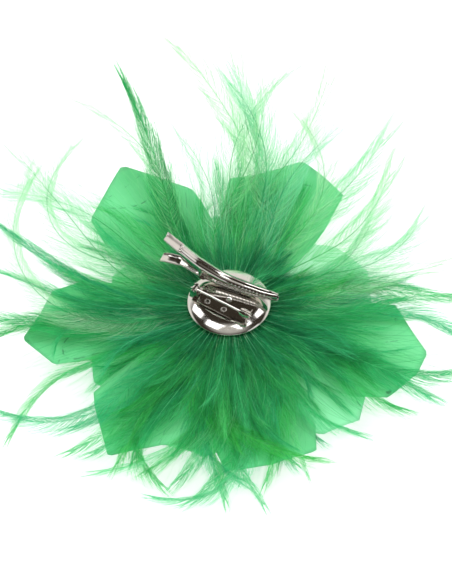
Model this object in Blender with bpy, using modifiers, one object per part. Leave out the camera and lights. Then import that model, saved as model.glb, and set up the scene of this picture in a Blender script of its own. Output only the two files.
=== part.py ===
"""Feather flower fascinator on a two-way finding (hair clip and brooch pin), lying face down.

Metres, +Z up. The origin is the middle of the flat front of the centre button, on the surface that the
flower lies on, and +Z is the flower's own axis, out of its back. +X runs along the hair clip, towards the
tips of its jaws. The pieces are stacked on +Z: button, front petals, feathers, two rounds of back petals,
two more tiers of feathers, felt, back plate, and on the plate the brooch bar and the clip.
"""

import math

import bmesh
import bpy
from mathutils import Matrix, Vector

MM = 0.001
GAP = 0.3 * MM  # between two pieces that rest on each other
SHAFT_CLEARANCE = 0.12 * MM  # round a pin in its hole

# Back plate: a flat disc whose edge turns down in a quarter round.
PLATE_RADIUS = 17.5 * MM
PLATE_FLAT_RADIUS = 12.5 * MM
PLATE_EDGE_DROP = 2.2 * MM
PLATE_THICKNESS = 0.5 * MM

# Felt under the plate, glue inside it, and the glue core that every petal and feather is set in.
FELT_RADIUS = 16.0 * MM
FELT_THICKNESS = 1.3 * MM
PLATE_GLUE_INSET = 3.5 * MM
CORE_RADIUS = 6.0 * MM

# Covered button in the middle of the front, which the flower lies on.
BUTTON_RADIUS = 10.0 * MM
BUTTON_FACE_RADIUS = 6.0 * MM
BUTTON_HEIGHT = 15.5 * MM

# The stack, from the button up. Each layer's height is that of its upper side at the flower's axis.
PETAL_THICKNESS = 0.5 * MM
FEATHER_THICKNESS = 0.5 * MM
LAYER_GAP = 0.9 * MM
SUBLAYER_STEP = 1.2 * MM  # from one petal of a round to the petals beside it, which lie lower
FRONT_PETALS_Z = BUTTON_HEIGHT + LAYER_GAP + PETAL_THICKNESS
LOWER_TIER_Z = FRONT_PETALS_Z + LAYER_GAP + FEATHER_THICKNESS
MID_PETALS_Z = LOWER_TIER_Z + LAYER_GAP + PETAL_THICKNESS + SUBLAYER_STEP
BACK_PETALS_Z = MID_PETALS_Z + LAYER_GAP + PETAL_THICKNESS + SUBLAYER_STEP
MIDDLE_TIER_Z = BACK_PETALS_Z + LAYER_GAP + FEATHER_THICKNESS
UPPER_TIER_Z = MIDDLE_TIER_Z + LAYER_GAP + FEATHER_THICKNESS
FELT_BOTTOM_Z = UPPER_TIER_Z + LAYER_GAP
PLATE_TOP = FELT_BOTTOM_Z + FELT_THICKNESS + GAP + PLATE_EDGE_DROP

# Hair clip, measured in its own frame: x along the jaws, z up from the plate's flat. A profile gives a
# value at places along the clip: -1 is a lever's thumb end, 0 the hinge and 1 the jaws' tip.
CLIP_Y = 6.2 * MM
CLIP_TIP_X = 19.5 * MM
CLIP_HINGE_X = -13.5 * MM
CLIP_HINGE_Z = 4.2 * MM
CLIP_UPPER_END_X = -31.2 * MM
CLIP_LOWER_END_X = -33.5 * MM
CLIP_HALF_WIDTH = 2.4 * MM
CLIP_NOSE_HALF_WIDTH = 1.1 * MM
CLIP_SHEET = 0.4 * MM
CLIP_BEVEL = 0.4 * MM
CLIP_RIB = 0.35 * MM  # height of the rib along the upper lever's back
CLIP_SEAT_Z = 1.2 * MM  # underside of the lower jaw where it is welded on
CLIP_EAR_RADIUS = 2.0 * MM
CLIP_PIN_RADIUS = 0.7 * MM
CLIP_TOOTH_PITCH = 1.6 * MM
CLIP_TOOTH_DEPTH = 0.5 * MM
CLIP_TEETH = 14
CLIP_WELD_LENGTH = 9.0 * MM
CLIP_WELD_WIDTH = 2.6 * MM
CLIP_WELD_X = -2.0 * MM
UPPER_BACK = (
    (-1.00, 20.0 * MM),
    (-0.49, 14.2 * MM),
    (-0.21, 10.8 * MM),
    (0.00, 9.2 * MM),
    (0.11, 7.7 * MM),
    (0.21, 6.5 * MM),
    (0.33, 5.7 * MM),
    (0.55, 5.0 * MM),
    (0.79, 4.9 * MM),
    (1.00, 5.4 * MM),
)
UPPER_HANDLE_WALL = ((-1.00, 1.0 * MM), (0.00, 3.8 * MM))
MOUTH = ((0.00, 4.2 * MM), (0.42, 3.3 * MM), (0.67, 3.1 * MM), (1.00, 3.7 * MM))
LOWER_FLOOR = (
    (-1.00, CLIP_SEAT_Z + 2.5 * MM),
    (-0.85, CLIP_SEAT_Z + 3.4 * MM),
    (-0.60, CLIP_SEAT_Z + 3.8 * MM),
    (-0.43, CLIP_SEAT_Z + 2.8 * MM),
    (-0.17, CLIP_SEAT_Z + 0.7 * MM),
    (-0.05, CLIP_SEAT_Z),
    (0.61, CLIP_SEAT_Z),
    (1.00, CLIP_SEAT_Z + 1.0 * MM),
)
LOWER_HANDLE_WALL = 1.4 * MM
PADDLE_INNER_END = -0.56  # the wide part of the lower thumb end stops here
JAW_WIDENS_AT = 0.18  # and the lower jaw is as wide as the upper one from here
SPRING_WIRE_RADIUS = 0.2 * MM
SPRING_TURNS = 2.5
SPRING_LEG = 9.2 * MM

# Brooch bar, in its own frame: x along the pin, z up from the plate's flat.
BAR_CENTRE = (-0.2 * MM, -6.3 * MM)
BAR_TURN = math.radians(-9.0)
BAR_BODY_LENGTH = 19.0 * MM
BAR_BODY_X = -4.0 * MM
BAR_WIDTH = 5.4 * MM
BAR_SHEET = 0.5 * MM
BAR_NECK_WIDTH = 2.6 * MM
BAR_HOLE_RADIUS = 0.9 * MM
BAR_HOLES_X = (-7.4 * MM, 0.6 * MM)
PIN_HINGE_X = -13.6 * MM
PIN_AXIS_Z = 5.35 * MM
PIN_RADIUS = 0.4 * MM
PIN_TIP_X = 14.2 * MM
PIN_POINT_LENGTH = 4.0 * MM
PIN_EYE_RADIUS = 1.25 * MM
PIN_EYE_WIDTH = 1.3 * MM
PIN_SIDES = 12
RIVET_RADIUS = 0.5 * MM
EAR_SHEET = 0.5 * MM
EAR_RADIUS = 1.7 * MM
CATCH_X = 11.0 * MM
CATCH_RING_WIDTH = 1.5 * MM
CATCH_POST_WIDTH = 1.6 * MM
DRUM_RADIUS = 1.35 * MM
DRUM_BORE_RADIUS = 0.75 * MM
DRUM_LENGTH = 4.6 * MM
DRUM_FLANGE_WIDTH = 0.6 * MM
DRUM_SLOT_WIDTH = 1.25 * MM
DRUM_TAB_REACH = 3.3 * MM
DRUM_TAB_HEIGHT = 0.8 * MM
RING_WALL = 0.5 * MM

# Fabric petals. A round has petals of (bearing in degrees, reach in millimetres), and the droop is how far
# the round has come down at droop_radius.
DROOP_POWER = 1.6  # how late along its reach a petal comes down
PETAL_ROOT_X = CORE_RADIUS + 1.2 * MM
# Share of the reach, and share of the half width there: a fan with cornered shoulders and a point.
PETAL_OUTLINE = (
    (0.00, 0.08),
    (0.16, 0.32),
    (0.38, 0.68),
    (0.60, 0.98),
    (0.72, 1.00),
    (0.86, 0.80),
    (1.00, 0.12),
)
BACK_PETALS = {
    "petals": ((9.5, 86.0), (91.5, 91.0), (145.5, 92.0), (204.5, 87.0), (257.5, 85.0), (306.5, 80.0)),
    "half_width": 27.0 * MM,
    "droop": 5.0 * MM,
    "droop_radius": 90.0 * MM,
}
MID_PETALS = {
    "petals": ((60.0, 80.0), (118.0, 74.0), (175.0, 76.0), (230.0, 76.0), (282.0, 78.0), (340.5, 74.0)),
    "half_width": 26.0 * MM,
    "droop": 7.0 * MM,
    "droop_radius": 78.0 * MM,
}
# The front petals come down until their tips all but touch the surface.
FRONT_PETALS = {
    "petals": ((36.0, 54.0), (108.0, 54.0), (180.0, 54.0), (252.0, 54.0), (324.0, 54.0)),
    "half_width": 19.0 * MM,
    "droop": FRONT_PETALS_Z - PETAL_THICKNESS - GAP,
    "droop_radius": 54.3 * MM,
}

# Feathers. Each has a bearing in degrees, a reach and a rise at its tip in millimetres, and a sweep, which
# is how far its tip bends aside as a share of its reach. The lower tier lies under the middle round of
# petals, so its feathers follow the droop of that round, and their rise comes on top of it.
FEATHER_ROOT_X = CORE_RADIUS + 1.6 * MM
FEATHER_HALF_WIDTH = 6.5 * MM
FEATHER_FLAT_TO = 22.0 * MM  # inside this radius a feather lies flat in the stack
FEATHER_RISE_POWER = 1.8
UPPER_TIER = (
    (44.5, 104.0, 12.0, 0.06),
    (88.5, 118.0, 34.0, 0.08),
    (124.5, 132.0, 44.0, 0.10),
    (156.5, 124.0, 26.0, 0.08),
    (192.5, 116.0, 13.0, -0.10),
    (230.5, 118.0, 10.0, 0.06),
    (275.5, 94.0, 9.0, -0.06),
    (314.5, 96.0, 9.0, 0.05),
    (353.5, 112.0, 10.0, -0.05),
)
MIDDLE_TIER = (
    (25.5, 112.0, 3.0, 0.05),
    (70.5, 108.0, 5.0, 0.08),
    (103.5, 118.0, 8.0, 0.05),
    (137.5, 122.0, 8.0, 0.06),
    (173.5, 122.0, 5.0, -0.05),
    (210.5, 120.0, 3.0, 0.08),
    (254.5, 102.0, 3.0, 0.06),
    (293.5, 96.0, 3.0, -0.06),
    (333.5, 102.0, 3.0, 0.05),
)
LOWER_TIER = (
    (48.5, 92.0, 0.0, 0.05),
    (95.5, 96.0, 0.0, 0.06),
    (147.5, 104.0, 0.0, -0.05),
    (194.5, 108.0, 0.0, 0.06),
    (232.5, 106.0, -1.0, 0.05),
    (268.5, 104.0, -2.0, -0.08),
    (305.5, 98.0, -2.0, 0.08),
    (5.5, 104.0, 0.0, 0.05),
)

SIDES = 24  # of a small round piece
PLATE_SIDES = 48
SHARP_ANGLE = math.radians(35.0)  # edges that turn more than this aren't shaded smooth


def empty_scene():
    for obj in list(bpy.data.objects):
        bpy.data.objects.remove(obj, do_unlink=True)


def new_collection(name):
    collection = bpy.data.collections.new(name)
    bpy.context.scene.collection.children.link(collection)
    return collection


def new_material(name, colour, roughness, metallic):
    material = bpy.data.materials.new(name)
    material.use_nodes = True
    shader = material.node_tree.nodes["Principled BSDF"]
    shader.inputs["Base Color"].default_value = (*colour, 1.0)
    shader.inputs["Roughness"].default_value = roughness
    shader.inputs["Metallic"].default_value = metallic
    return material


def new_empty(name, location, turn=0.0):
    empty = bpy.data.objects.new(name, None)
    empty.location = location
    empty.rotation_euler = (0.0, 0.0, turn)
    PIECES.objects.link(empty)
    return empty


def piece(name, mesh, material, parent=None, location=(0.0, 0.0, 0.0)):
    obj = bpy.data.objects.new(name, mesh)
    obj.data.materials.append(material)
    obj.location = location
    obj.parent = parent
    PIECES.objects.link(obj)
    return obj


def helper(name, mesh, parent=None, location=(0.0, 0.0, 0.0)):
    """A solid that cuts or joins another, and isn't a piece itself."""
    obj = bpy.data.objects.new(name, mesh)
    obj.location = location
    obj.parent = parent
    obj.hide_render = True
    obj.display_type = "WIRE"
    CUTTERS.objects.link(obj)
    return obj


def boolean(obj, other, operation):
    modifier = obj.modifiers.new(other.name, "BOOLEAN")
    modifier.operation = operation
    modifier.object = other


def block(size, centre=(0.0, 0.0, 0.0)):
    bm = bmesh.new()
    bmesh.ops.create_cube(bm, size=1.0, matrix=Matrix.Translation(centre) @ Matrix.Diagonal((*size, 1.0)))
    mesh = bpy.data.meshes.new("block")
    bm.to_mesh(mesh)
    bm.free()
    return mesh


AXIS_TURN = {
    "X": Matrix.Rotation(math.radians(90.0), 4, "Y"),
    "Y": Matrix.Rotation(math.radians(-90.0), 4, "X"),
    "Z": Matrix.Identity(4),
}


def shade(mesh):
    mesh.shade_smooth()
    mesh.set_sharp_from_angle(angle=SHARP_ANGLE)


def round_bar(axis, radius, length, centre=(0.0, 0.0, 0.0), end_radius=None, sides=SIDES):
    bm = bmesh.new()
    bmesh.ops.create_cone(
        bm,
        cap_ends=True,
        segments=sides,
        radius1=radius,
        radius2=radius if end_radius is None else end_radius,
        depth=length,
        matrix=Matrix.Translation(centre) @ AXIS_TURN[axis],
    )
    mesh = bpy.data.meshes.new("round_bar")
    bm.to_mesh(mesh)
    bm.free()
    shade(mesh)
    return mesh


def turned(name, profile, material, sides, thickness=None):
    """A profile of (radius, z) turned round +Z. It runs outwards on top and down its outer side."""
    mesh = bpy.data.meshes.new(name)
    points = [(radius, 0.0, z) for radius, z in profile]
    mesh.from_pydata(points, [(i, i + 1) for i in range(len(points) - 1)], [])
    obj = piece(name, mesh, material)
    screw = obj.modifiers.new("turn", "SCREW")
    screw.steps = screw.render_steps = sides
    screw.use_merge_vertices = True
    screw.merge_threshold = 0.00001
    if thickness is not None:
        wall = obj.modifiers.new("wall", "SOLIDIFY")
        wall.thickness = thickness
        wall.offset = -1.0
        wall.use_even_offset = True
    return obj


def sheet(name, rows, thickness, material, parent=None):
    """A curved sheet through rows of points, thickened away from the side its faces look to."""
    across = len(rows[0])
    faces = [
        (row * across + i, (row + 1) * across + i, (row + 1) * across + i + 1, row * across + i + 1)
        for row in range(len(rows) - 1)
        for i in range(across - 1)
    ]
    mesh = bpy.data.meshes.new(name)
    mesh.from_pydata([point for row in rows for point in row], [], faces)
    shade(mesh)
    obj = piece(name, mesh, material, parent)
    wall = obj.modifiers.new("wall", "SOLIDIFY")
    wall.thickness = thickness
    wall.offset = -1.0
    wall.use_even_offset = True
    return obj


def between(x, table):
    """The value at x of a line through the (x, value) pairs of the table, whose x rises."""
    for (x0, v0), (x1, v1) in zip(table, table[1:]):
        if x <= x1:
            return v0 + (v1 - v0) * max(x - x0, 0.0) / (x1 - x0)
    return table[-1][1]


# ---------------------------------------------------------------- plate, felt, glue and button


def make_plate():
    steps = 6
    width = PLATE_RADIUS - PLATE_FLAT_RADIUS
    edge = [
        (
            PLATE_FLAT_RADIUS + width * math.sin(math.pi / 2 * i / steps),
            PLATE_TOP - PLATE_EDGE_DROP * (1.0 - math.cos(math.pi / 2 * i / steps)),
        )
        for i in range(steps + 1)
    ]
    turned("back_plate", [(0.0, PLATE_TOP), *edge], CHROME, PLATE_SIDES, PLATE_THICKNESS)


def make_disc(name, radius, top, bottom, material, sides):
    turned(name, [(0.0, top), (radius, top), (radius, bottom), (0.0, bottom)], material, sides)


def make_stack():
    plate_rim = PLATE_TOP - PLATE_EDGE_DROP
    glue_top = PLATE_TOP - PLATE_THICKNESS - 2 * GAP
    make_disc("plate_glue", PLATE_RADIUS - PLATE_GLUE_INSET, glue_top, plate_rim + GAP, GLUE, SIDES)
    make_disc("backing_felt", FELT_RADIUS, plate_rim - GAP, FELT_BOTTOM_Z, FELT, PLATE_SIDES)
    make_disc("glue_core", CORE_RADIUS, FELT_BOTTOM_Z - GAP, FRONT_PETALS_Z - PETAL_THICKNESS, GLUE, SIDES)


def make_button():
    """A domed stem side up under the petals, a rounded edge, and a flat face on the surface."""
    steps = 5
    crown = BUTTON_HEIGHT / 2
    upper = [
        (
            BUTTON_RADIUS * math.sin(math.pi / 2 * i / steps),
            BUTTON_HEIGHT - crown * (1.0 - math.cos(math.pi / 2 * i / steps)),
        )
        for i in range(steps + 1)
    ]
    lower = [
        (
            BUTTON_FACE_RADIUS + (BUTTON_RADIUS - BUTTON_FACE_RADIUS) * math.cos(math.pi / 2 * i / steps),
            crown * (1.0 - math.sin(math.pi / 2 * i / steps)),
        )
        for i in range(1, steps + 1)
    ]
    turned("centre_button", [*upper, *lower, (0.0, 0.0)], SATIN, SIDES)


# ---------------------------------------------------------------- hair clip


def place(x, thumb_end_x):
    """Where x is along the clip: -1 at the thumb end, 0 at the hinge, 1 at the jaws' tip."""
    if x < CLIP_HINGE_X:
        return (x - CLIP_HINGE_X) / (CLIP_HINGE_X - thumb_end_x)
    return (x - CLIP_HINGE_X) / (CLIP_TIP_X - CLIP_HINGE_X)


def stations(profile_places, thumb_end_x):
    """The x of each place of a profile, those that draw the round ear, and one just beyond it each side."""
    xs = [
        CLIP_HINGE_X + share * ((CLIP_HINGE_X - thumb_end_x) if share < 0 else (CLIP_TIP_X - CLIP_HINGE_X))
        for share in profile_places
    ]
    beyond = CLIP_EAR_RADIUS + GAP
    ear = [CLIP_HINGE_X + CLIP_EAR_RADIUS * math.cos(math.radians(a)) for a in range(180, -1, -30)]
    clear_of_ear = [x for x in xs if abs(x - CLIP_HINGE_X) > beyond + GAP]
    return sorted([*clear_of_ear, CLIP_HINGE_X - beyond, *ear, CLIP_HINGE_X + beyond])


def upper_top(x):
    """Height of the upper lever's back: nearly level over the jaws, rising in a bow to the thumb end."""
    return between(place(x, CLIP_UPPER_END_X), UPPER_BACK)


def lower_floor(x):
    """Underside of the lower lever: flat where it is welded, rising to the nose and to the thumb end."""
    return between(place(x, CLIP_LOWER_END_X), LOWER_FLOOR)


def ear_height(x):
    """How far the round ear at the hinge stands above and below the hinge at x, or None beside it."""
    aside = abs(x - CLIP_HINGE_X)
    return math.sqrt(CLIP_EAR_RADIUS**2 - aside**2) if aside < CLIP_EAR_RADIUS else None


def upper_edge(x):
    """Lower edge of the upper lever's side walls."""
    ear = ear_height(x)
    if ear is not None:
        return CLIP_HINGE_Z - ear
    along = place(x, CLIP_UPPER_END_X)
    if along > 0:
        return between(along, MOUTH) + GAP / 2
    return upper_top(x) - between(along, UPPER_HANDLE_WALL)


def lower_edge(x):
    """Upper edge of the lower lever's side walls, before the teeth are cut."""
    ear = ear_height(x)
    if ear is not None:
        return CLIP_HINGE_Z + ear
    along = place(x, CLIP_LOWER_END_X)
    if along > 0:
        return between(along, MOUTH) - GAP / 2
    return lower_floor(x) + LOWER_HANDLE_WALL


def jaw_half_width(along):
    """The jaws' outline from above: slowly narrowing, with a rounded nose."""
    outline = (
        (0.00, CLIP_HALF_WIDTH),
        (0.79, 0.85 * CLIP_HALF_WIDTH),
        (0.91, 0.70 * CLIP_HALF_WIDTH),
        (1.00, CLIP_NOSE_HALF_WIDTH),
    )
    return between(along, outline)


def upper_half_width(x):
    along = place(x, CLIP_UPPER_END_X)
    if along > 0:
        return jaw_half_width(along)
    return between(along, ((-1.00, 0.88 * CLIP_HALF_WIDTH), (-0.36, CLIP_HALF_WIDTH)))


def lower_half_width(x):
    """Narrow enough round the hinge to sit between the upper lever's ears."""
    along = place(x, CLIP_LOWER_END_X)
    if along > JAW_WIDENS_AT:
        return jaw_half_width(along)
    nested = CLIP_HALF_WIDTH - CLIP_SHEET - GAP
    past_ears = place(CLIP_HINGE_X + CLIP_EAR_RADIUS + 4 * GAP, CLIP_LOWER_END_X)
    outline = (
        (PADDLE_INNER_END - 0.04, 0.92 * CLIP_HALF_WIDTH),
        (PADDLE_INNER_END + 0.04, nested),
        (past_ears, nested),
        (JAW_WIDENS_AT, jaw_half_width(JAW_WIDENS_AT)),
    )
    return between(along, outline)


def make_upper_jaw(frame, hole):
    """A channel that opens downwards, with a rib along its back and an ear each side of the hinge."""
    handle = [-1.0, -0.85, -0.67, -0.49, -0.34, -0.21]
    jaw = [0.11, 0.21, 0.33, 0.44, 0.55, 0.67, 0.79, 0.85, 0.91, 1.0]
    rows = []
    for x in stations(handle + jaw, CLIP_UPPER_END_X):
        w, top, edge = upper_half_width(x), upper_top(x), upper_edge(x)
        shoulder = min(CLIP_BEVEL, (top - edge) / 3)
        side = [(w, edge), (w, top - shoulder), (w - CLIP_BEVEL, top)]
        left = [Vector((x, -y, z)) for y, z in side]
        right = [Vector((x, y, z)) for y, z in reversed(side)]
        rows.append([*left, Vector((x, 0.0, top + CLIP_RIB)), *right])
    boolean(sheet("clip_upper_jaw", rows, CLIP_SHEET, CHROME, frame), hole, "DIFFERENCE")


def make_lower_jaw(frame, hole):
    """A channel that opens upwards, with saw teeth along both edges of the jaw."""
    places = [-1.0, -0.85, -0.72, -0.60, -0.52, -0.43, -0.17, 0.10, JAW_WIDENS_AT]
    cuts = [(x, 0.0) for x in stations(places, CLIP_LOWER_END_X)]
    last = CLIP_TIP_X - CLIP_NOSE_HALF_WIDTH
    first = last - CLIP_TEETH * CLIP_TOOTH_PITCH
    for tooth in range(CLIP_TEETH):
        valley = first + tooth * CLIP_TOOTH_PITCH
        cuts += [(valley, CLIP_TOOTH_DEPTH), (valley + 0.7 * CLIP_TOOTH_PITCH, 0.0)]
    cuts += [(last, CLIP_TOOTH_DEPTH), (CLIP_TIP_X, CLIP_TOOTH_DEPTH)]
    rows = []
    for x, cut in sorted(cuts):
        w, floor, edge = lower_half_width(x), lower_floor(x), lower_edge(x) - cut
        shoulder = min(CLIP_BEVEL, (edge - floor) / 2)
        side = [(w, edge), (w, floor + shoulder), (w - CLIP_BEVEL, floor)]
        right = [Vector((x, y, z)) for y, z in side]
        left = [Vector((x, -y, z)) for y, z in reversed(side)]
        rows.append([*right, *left])
    boolean(sheet("clip_lower_jaw", rows, CLIP_SHEET, CHROME, frame), hole, "DIFFERENCE")


def make_clip_pin(frame):
    """A rivet through all four ears, with a low head at each end."""
    head = 0.5 * MM
    head_radius = 1.3 * MM
    reach = CLIP_HALF_WIDTH + GAP
    bar = round_bar("Y", CLIP_PIN_RADIUS, 2 * reach + head)
    pin = piece("clip_hinge_pin", bar, CHROME, frame, (CLIP_HINGE_X, 0.0, CLIP_HINGE_Z))
    for side in (-1, 1):
        mesh = round_bar("Y", head_radius, head, (0.0, side * (reach + head / 2), 0.0))
        boolean(pin, helper(f"clip_pin_head_{side}", mesh, frame, pin.location), "UNION")


def make_clip_spring(frame):
    """A torsion spring: a coil round the hinge pin and a leg under each lever."""
    coil_radius = CLIP_PIN_RADIUS + GAP + SPRING_WIRE_RADIUS
    per_turn = 12
    count = round(SPRING_TURNS * per_turn)
    width = SPRING_TURNS * 2.25 * SPRING_WIRE_RADIUS
    coil = []
    for i in range(count + 1):
        angle = math.radians(-90.0) + 2 * math.pi * i / per_turn
        x = CLIP_HINGE_X + coil_radius * math.cos(angle)
        z = CLIP_HINGE_Z + coil_radius * math.sin(angle)
        coil.append(Vector((x, width * (i / count - 0.5), z)))
    leg_x = CLIP_HINGE_X - SPRING_LEG
    rest = CLIP_SHEET + GAP + SPRING_WIRE_RADIUS
    lower_leg = Vector((leg_x, -width / 2, lower_floor(leg_x) + rest))
    upper_leg = Vector((leg_x, width / 2, upper_top(leg_x) - rest - CLIP_RIB))
    curve = bpy.data.curves.new("clip_spring", "CURVE")
    curve.dimensions = "3D"
    curve.bevel_depth = SPRING_WIRE_RADIUS
    curve.bevel_resolution = 2
    curve.use_fill_caps = True
    spline = curve.splines.new("POLY")
    route = [lower_leg, *coil, upper_leg]
    spline.points.add(len(route) - 1)
    for point, place in zip(spline.points, route):
        point.co = (*place, 1.0)
    piece("clip_spring", curve, SPRING_STEEL, frame)


def make_clip_weld(frame):
    height = CLIP_SEAT_Z - 2 * GAP
    size = (CLIP_WELD_LENGTH, CLIP_WELD_WIDTH, height)
    piece("clip_weld", block(size, (CLIP_WELD_X, 0.0, GAP + height / 2)), SOLDER, frame)


def make_clip():
    frame = new_empty("clip_frame", (0.0, CLIP_Y, PLATE_TOP))
    bore = round_bar("Y", CLIP_PIN_RADIUS + SHAFT_CLEARANCE, 4 * CLIP_HALF_WIDTH)
    hole = helper("clip_hinge_hole", bore, frame, (CLIP_HINGE_X, 0.0, CLIP_HINGE_Z))
    make_upper_jaw(frame, hole)
    make_lower_jaw(frame, hole)
    make_clip_pin(frame)
    make_clip_spring(frame)
    make_clip_weld(frame)


# ---------------------------------------------------------------- brooch bar, pin and catch


def bar_hinge_end(frame, bar, join):
    """Two ears with a base between them, and the hole for the rivet."""
    ear_y = PIN_EYE_WIDTH / 2 + GAP + EAR_SHEET / 2
    height = PIN_AXIS_Z - GAP
    for side in (-1, 1):
        foot_centre = (PIN_HINGE_X, side * ear_y, GAP + height / 2)
        foot = block((2 * EAR_RADIUS, EAR_SHEET, height), foot_centre)
        boolean(bar, helper(f"ear_foot_{side}", foot, frame), "UNION")
        top = round_bar("Y", EAR_RADIUS, EAR_SHEET, (PIN_HINGE_X, side * ear_y, PIN_AXIS_Z))
        boolean(bar, helper(f"ear_top_{side}", top, frame), "UNION")
    start = PIN_HINGE_X - EAR_RADIUS
    end = BAR_BODY_X - BAR_BODY_LENGTH / 2 + join
    base_centre = ((start + end) / 2, 0.0, GAP + BAR_SHEET / 2)
    base = block((end - start, 2 * ear_y + EAR_SHEET, BAR_SHEET), base_centre)
    boolean(bar, helper("ear_base", base, frame), "UNION")
    hole = round_bar("Y", RIVET_RADIUS + SHAFT_CLEARANCE, 4 * BAR_WIDTH, (PIN_HINGE_X, 0.0, PIN_AXIS_Z))
    boolean(bar, helper("bar_rivet_hole", hole, frame), "DIFFERENCE")


def bar_catch_end(frame, bar, join):
    """A narrow neck, a post, and a ring on the post that is open at the top."""
    start = BAR_BODY_X + BAR_BODY_LENGTH / 2 - join
    end = CATCH_X + CATCH_RING_WIDTH / 2
    neck_centre = ((start + end) / 2, 0.0, GAP + BAR_SHEET / 2)
    neck = block((end - start, BAR_NECK_WIDTH, BAR_SHEET), neck_centre)
    boolean(bar, helper("bar_neck", neck, frame), "UNION")
    post_height = PIN_AXIS_Z - GAP - DRUM_RADIUS
    post = block((CATCH_RING_WIDTH, CATCH_POST_WIDTH, post_height), (CATCH_X, 0.0, GAP + post_height / 2))
    boolean(bar, helper("catch_post", post, frame), "UNION")
    axis = (CATCH_X, 0.0, PIN_AXIS_Z)
    bore = DRUM_RADIUS + SHAFT_CLEARANCE
    ring = round_bar("X", bore + RING_WALL, CATCH_RING_WIDTH, axis)
    boolean(bar, helper("catch_ring", ring, frame), "UNION")
    inside = round_bar("X", bore, 3 * CATCH_RING_WIDTH, axis)
    boolean(bar, helper("catch_ring_bore", inside, frame), "DIFFERENCE")
    reach = 3 * DRUM_RADIUS
    mouth_size = (3 * CATCH_RING_WIDTH, DRUM_SLOT_WIDTH + GAP, reach)
    mouth_cut = block(mouth_size, (CATCH_X, 0.0, PIN_AXIS_Z + reach / 2))
    boolean(bar, helper("catch_ring_mouth", mouth_cut, frame), "DIFFERENCE")


def make_bar(frame):
    """A flat bar with two holes, two hinge ears at one end and a catch ring on a neck at the other."""
    join = 0.5 * MM
    body_centre = (BAR_BODY_X, 0.0, GAP + BAR_SHEET / 2)
    body = block((BAR_BODY_LENGTH, BAR_WIDTH, BAR_SHEET), body_centre)
    bar = piece("brooch_bar", body, CHROME, frame)
    bar_catch_end(frame, bar, join)
    bar_hinge_end(frame, bar, join)
    for number, x in enumerate(BAR_HOLES_X, 1):
        hole = round_bar("Z", BAR_HOLE_RADIUS, 4 * BAR_SHEET, (x, 0.0, GAP + BAR_SHEET / 2))
        boolean(bar, helper(f"bar_hole_{number}", hole, frame), "DIFFERENCE")


def make_rivet(frame):
    head = 0.4 * MM
    head_radius = 0.95 * MM
    reach = PIN_EYE_WIDTH / 2 + GAP + EAR_SHEET + GAP
    shank = round_bar("Y", RIVET_RADIUS, 2 * reach + head)
    rivet = piece("brooch_rivet", shank, CHROME, frame, (PIN_HINGE_X, 0.0, PIN_AXIS_Z))
    for side in (-1, 1):
        mesh = round_bar("Y", head_radius, head, (0.0, side * (reach + head / 2), 0.0))
        boolean(rivet, helper(f"rivet_head_{side}", mesh, frame, rivet.location), "UNION")


def make_pin(frame):
    """A sharpened wire with a flat eye, whose origin is on the rivet."""
    axis = (PIN_HINGE_X, 0.0, PIN_AXIS_Z)
    length = PIN_TIP_X - PIN_HINGE_X
    start = PIN_EYE_RADIUS / 2
    shank = length - PIN_POINT_LENGTH - start
    wire = round_bar("X", PIN_RADIUS, shank, (start + shank / 2, 0.0, 0.0), sides=PIN_SIDES)
    pin = piece("brooch_pin", wire, CHROME, frame, axis)
    taper = PIN_POINT_LENGTH + 0.2 * MM
    # A hair thinner than the shank that it runs into, so that their sides don't coincide.
    thick, thin = 0.99 * PIN_RADIUS, 0.15 * PIN_RADIUS
    point = round_bar("X", thick, taper, (length - taper / 2, 0.0, 0.0), thin, PIN_SIDES)
    boolean(pin, helper("pin_point", point, frame, axis), "UNION")
    eye = round_bar("Y", PIN_EYE_RADIUS, PIN_EYE_WIDTH)
    boolean(pin, helper("pin_eye", eye, frame, axis), "UNION")
    hole = round_bar("Y", RIVET_RADIUS + SHAFT_CLEARANCE, 3 * PIN_EYE_WIDTH)
    boolean(pin, helper("pin_eye_hole", hole, frame, axis), "DIFFERENCE")


def make_catch(frame):
    """A slotted drum that turns in the catch ring to shut the pin in, with a flange each side and a tab."""
    axis = (CATCH_X, 0.0, PIN_AXIS_Z)
    drum = piece("safety_catch", round_bar("X", DRUM_RADIUS, DRUM_LENGTH), CHROME, frame, axis)
    flange_radius = DRUM_RADIUS + SHAFT_CLEARANCE + 0.6 * RING_WALL
    flange_x = CATCH_RING_WIDTH / 2 + GAP + DRUM_FLANGE_WIDTH / 2
    for side in (-1, 1):
        mesh = round_bar("X", flange_radius, DRUM_FLANGE_WIDTH, (side * flange_x, 0.0, 0.0))
        boolean(drum, helper(f"drum_flange_{side}", mesh, frame, axis), "UNION")
    tab = block((DRUM_FLANGE_WIDTH, DRUM_TAB_REACH, DRUM_TAB_HEIGHT), (flange_x, DRUM_TAB_REACH / 2, 0.0))
    boolean(drum, helper("drum_tab", tab, frame, axis), "UNION")
    bore = round_bar("X", DRUM_BORE_RADIUS, 2 * DRUM_LENGTH)
    boolean(drum, helper("drum_bore", bore, frame, axis), "DIFFERENCE")
    reach = 3 * DRUM_RADIUS
    slot = block((2 * DRUM_LENGTH, DRUM_SLOT_WIDTH, reach), (0.0, 0.0, reach / 2))
    boolean(drum, helper("drum_slot", slot, frame, axis), "DIFFERENCE")


def make_brooch():
    frame = new_empty("brooch_frame", (*BAR_CENTRE, PLATE_TOP), BAR_TURN)
    make_bar(frame)
    make_rivet(frame)
    make_pin(frame)
    make_catch(frame)


# ---------------------------------------------------------------- petals


def droop_at(radius, family):
    """How far a round of petals has come down at a radius. Petals that share a round never meet."""
    return family["droop"] * (radius / family["droop_radius"]) ** DROOP_POWER


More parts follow.
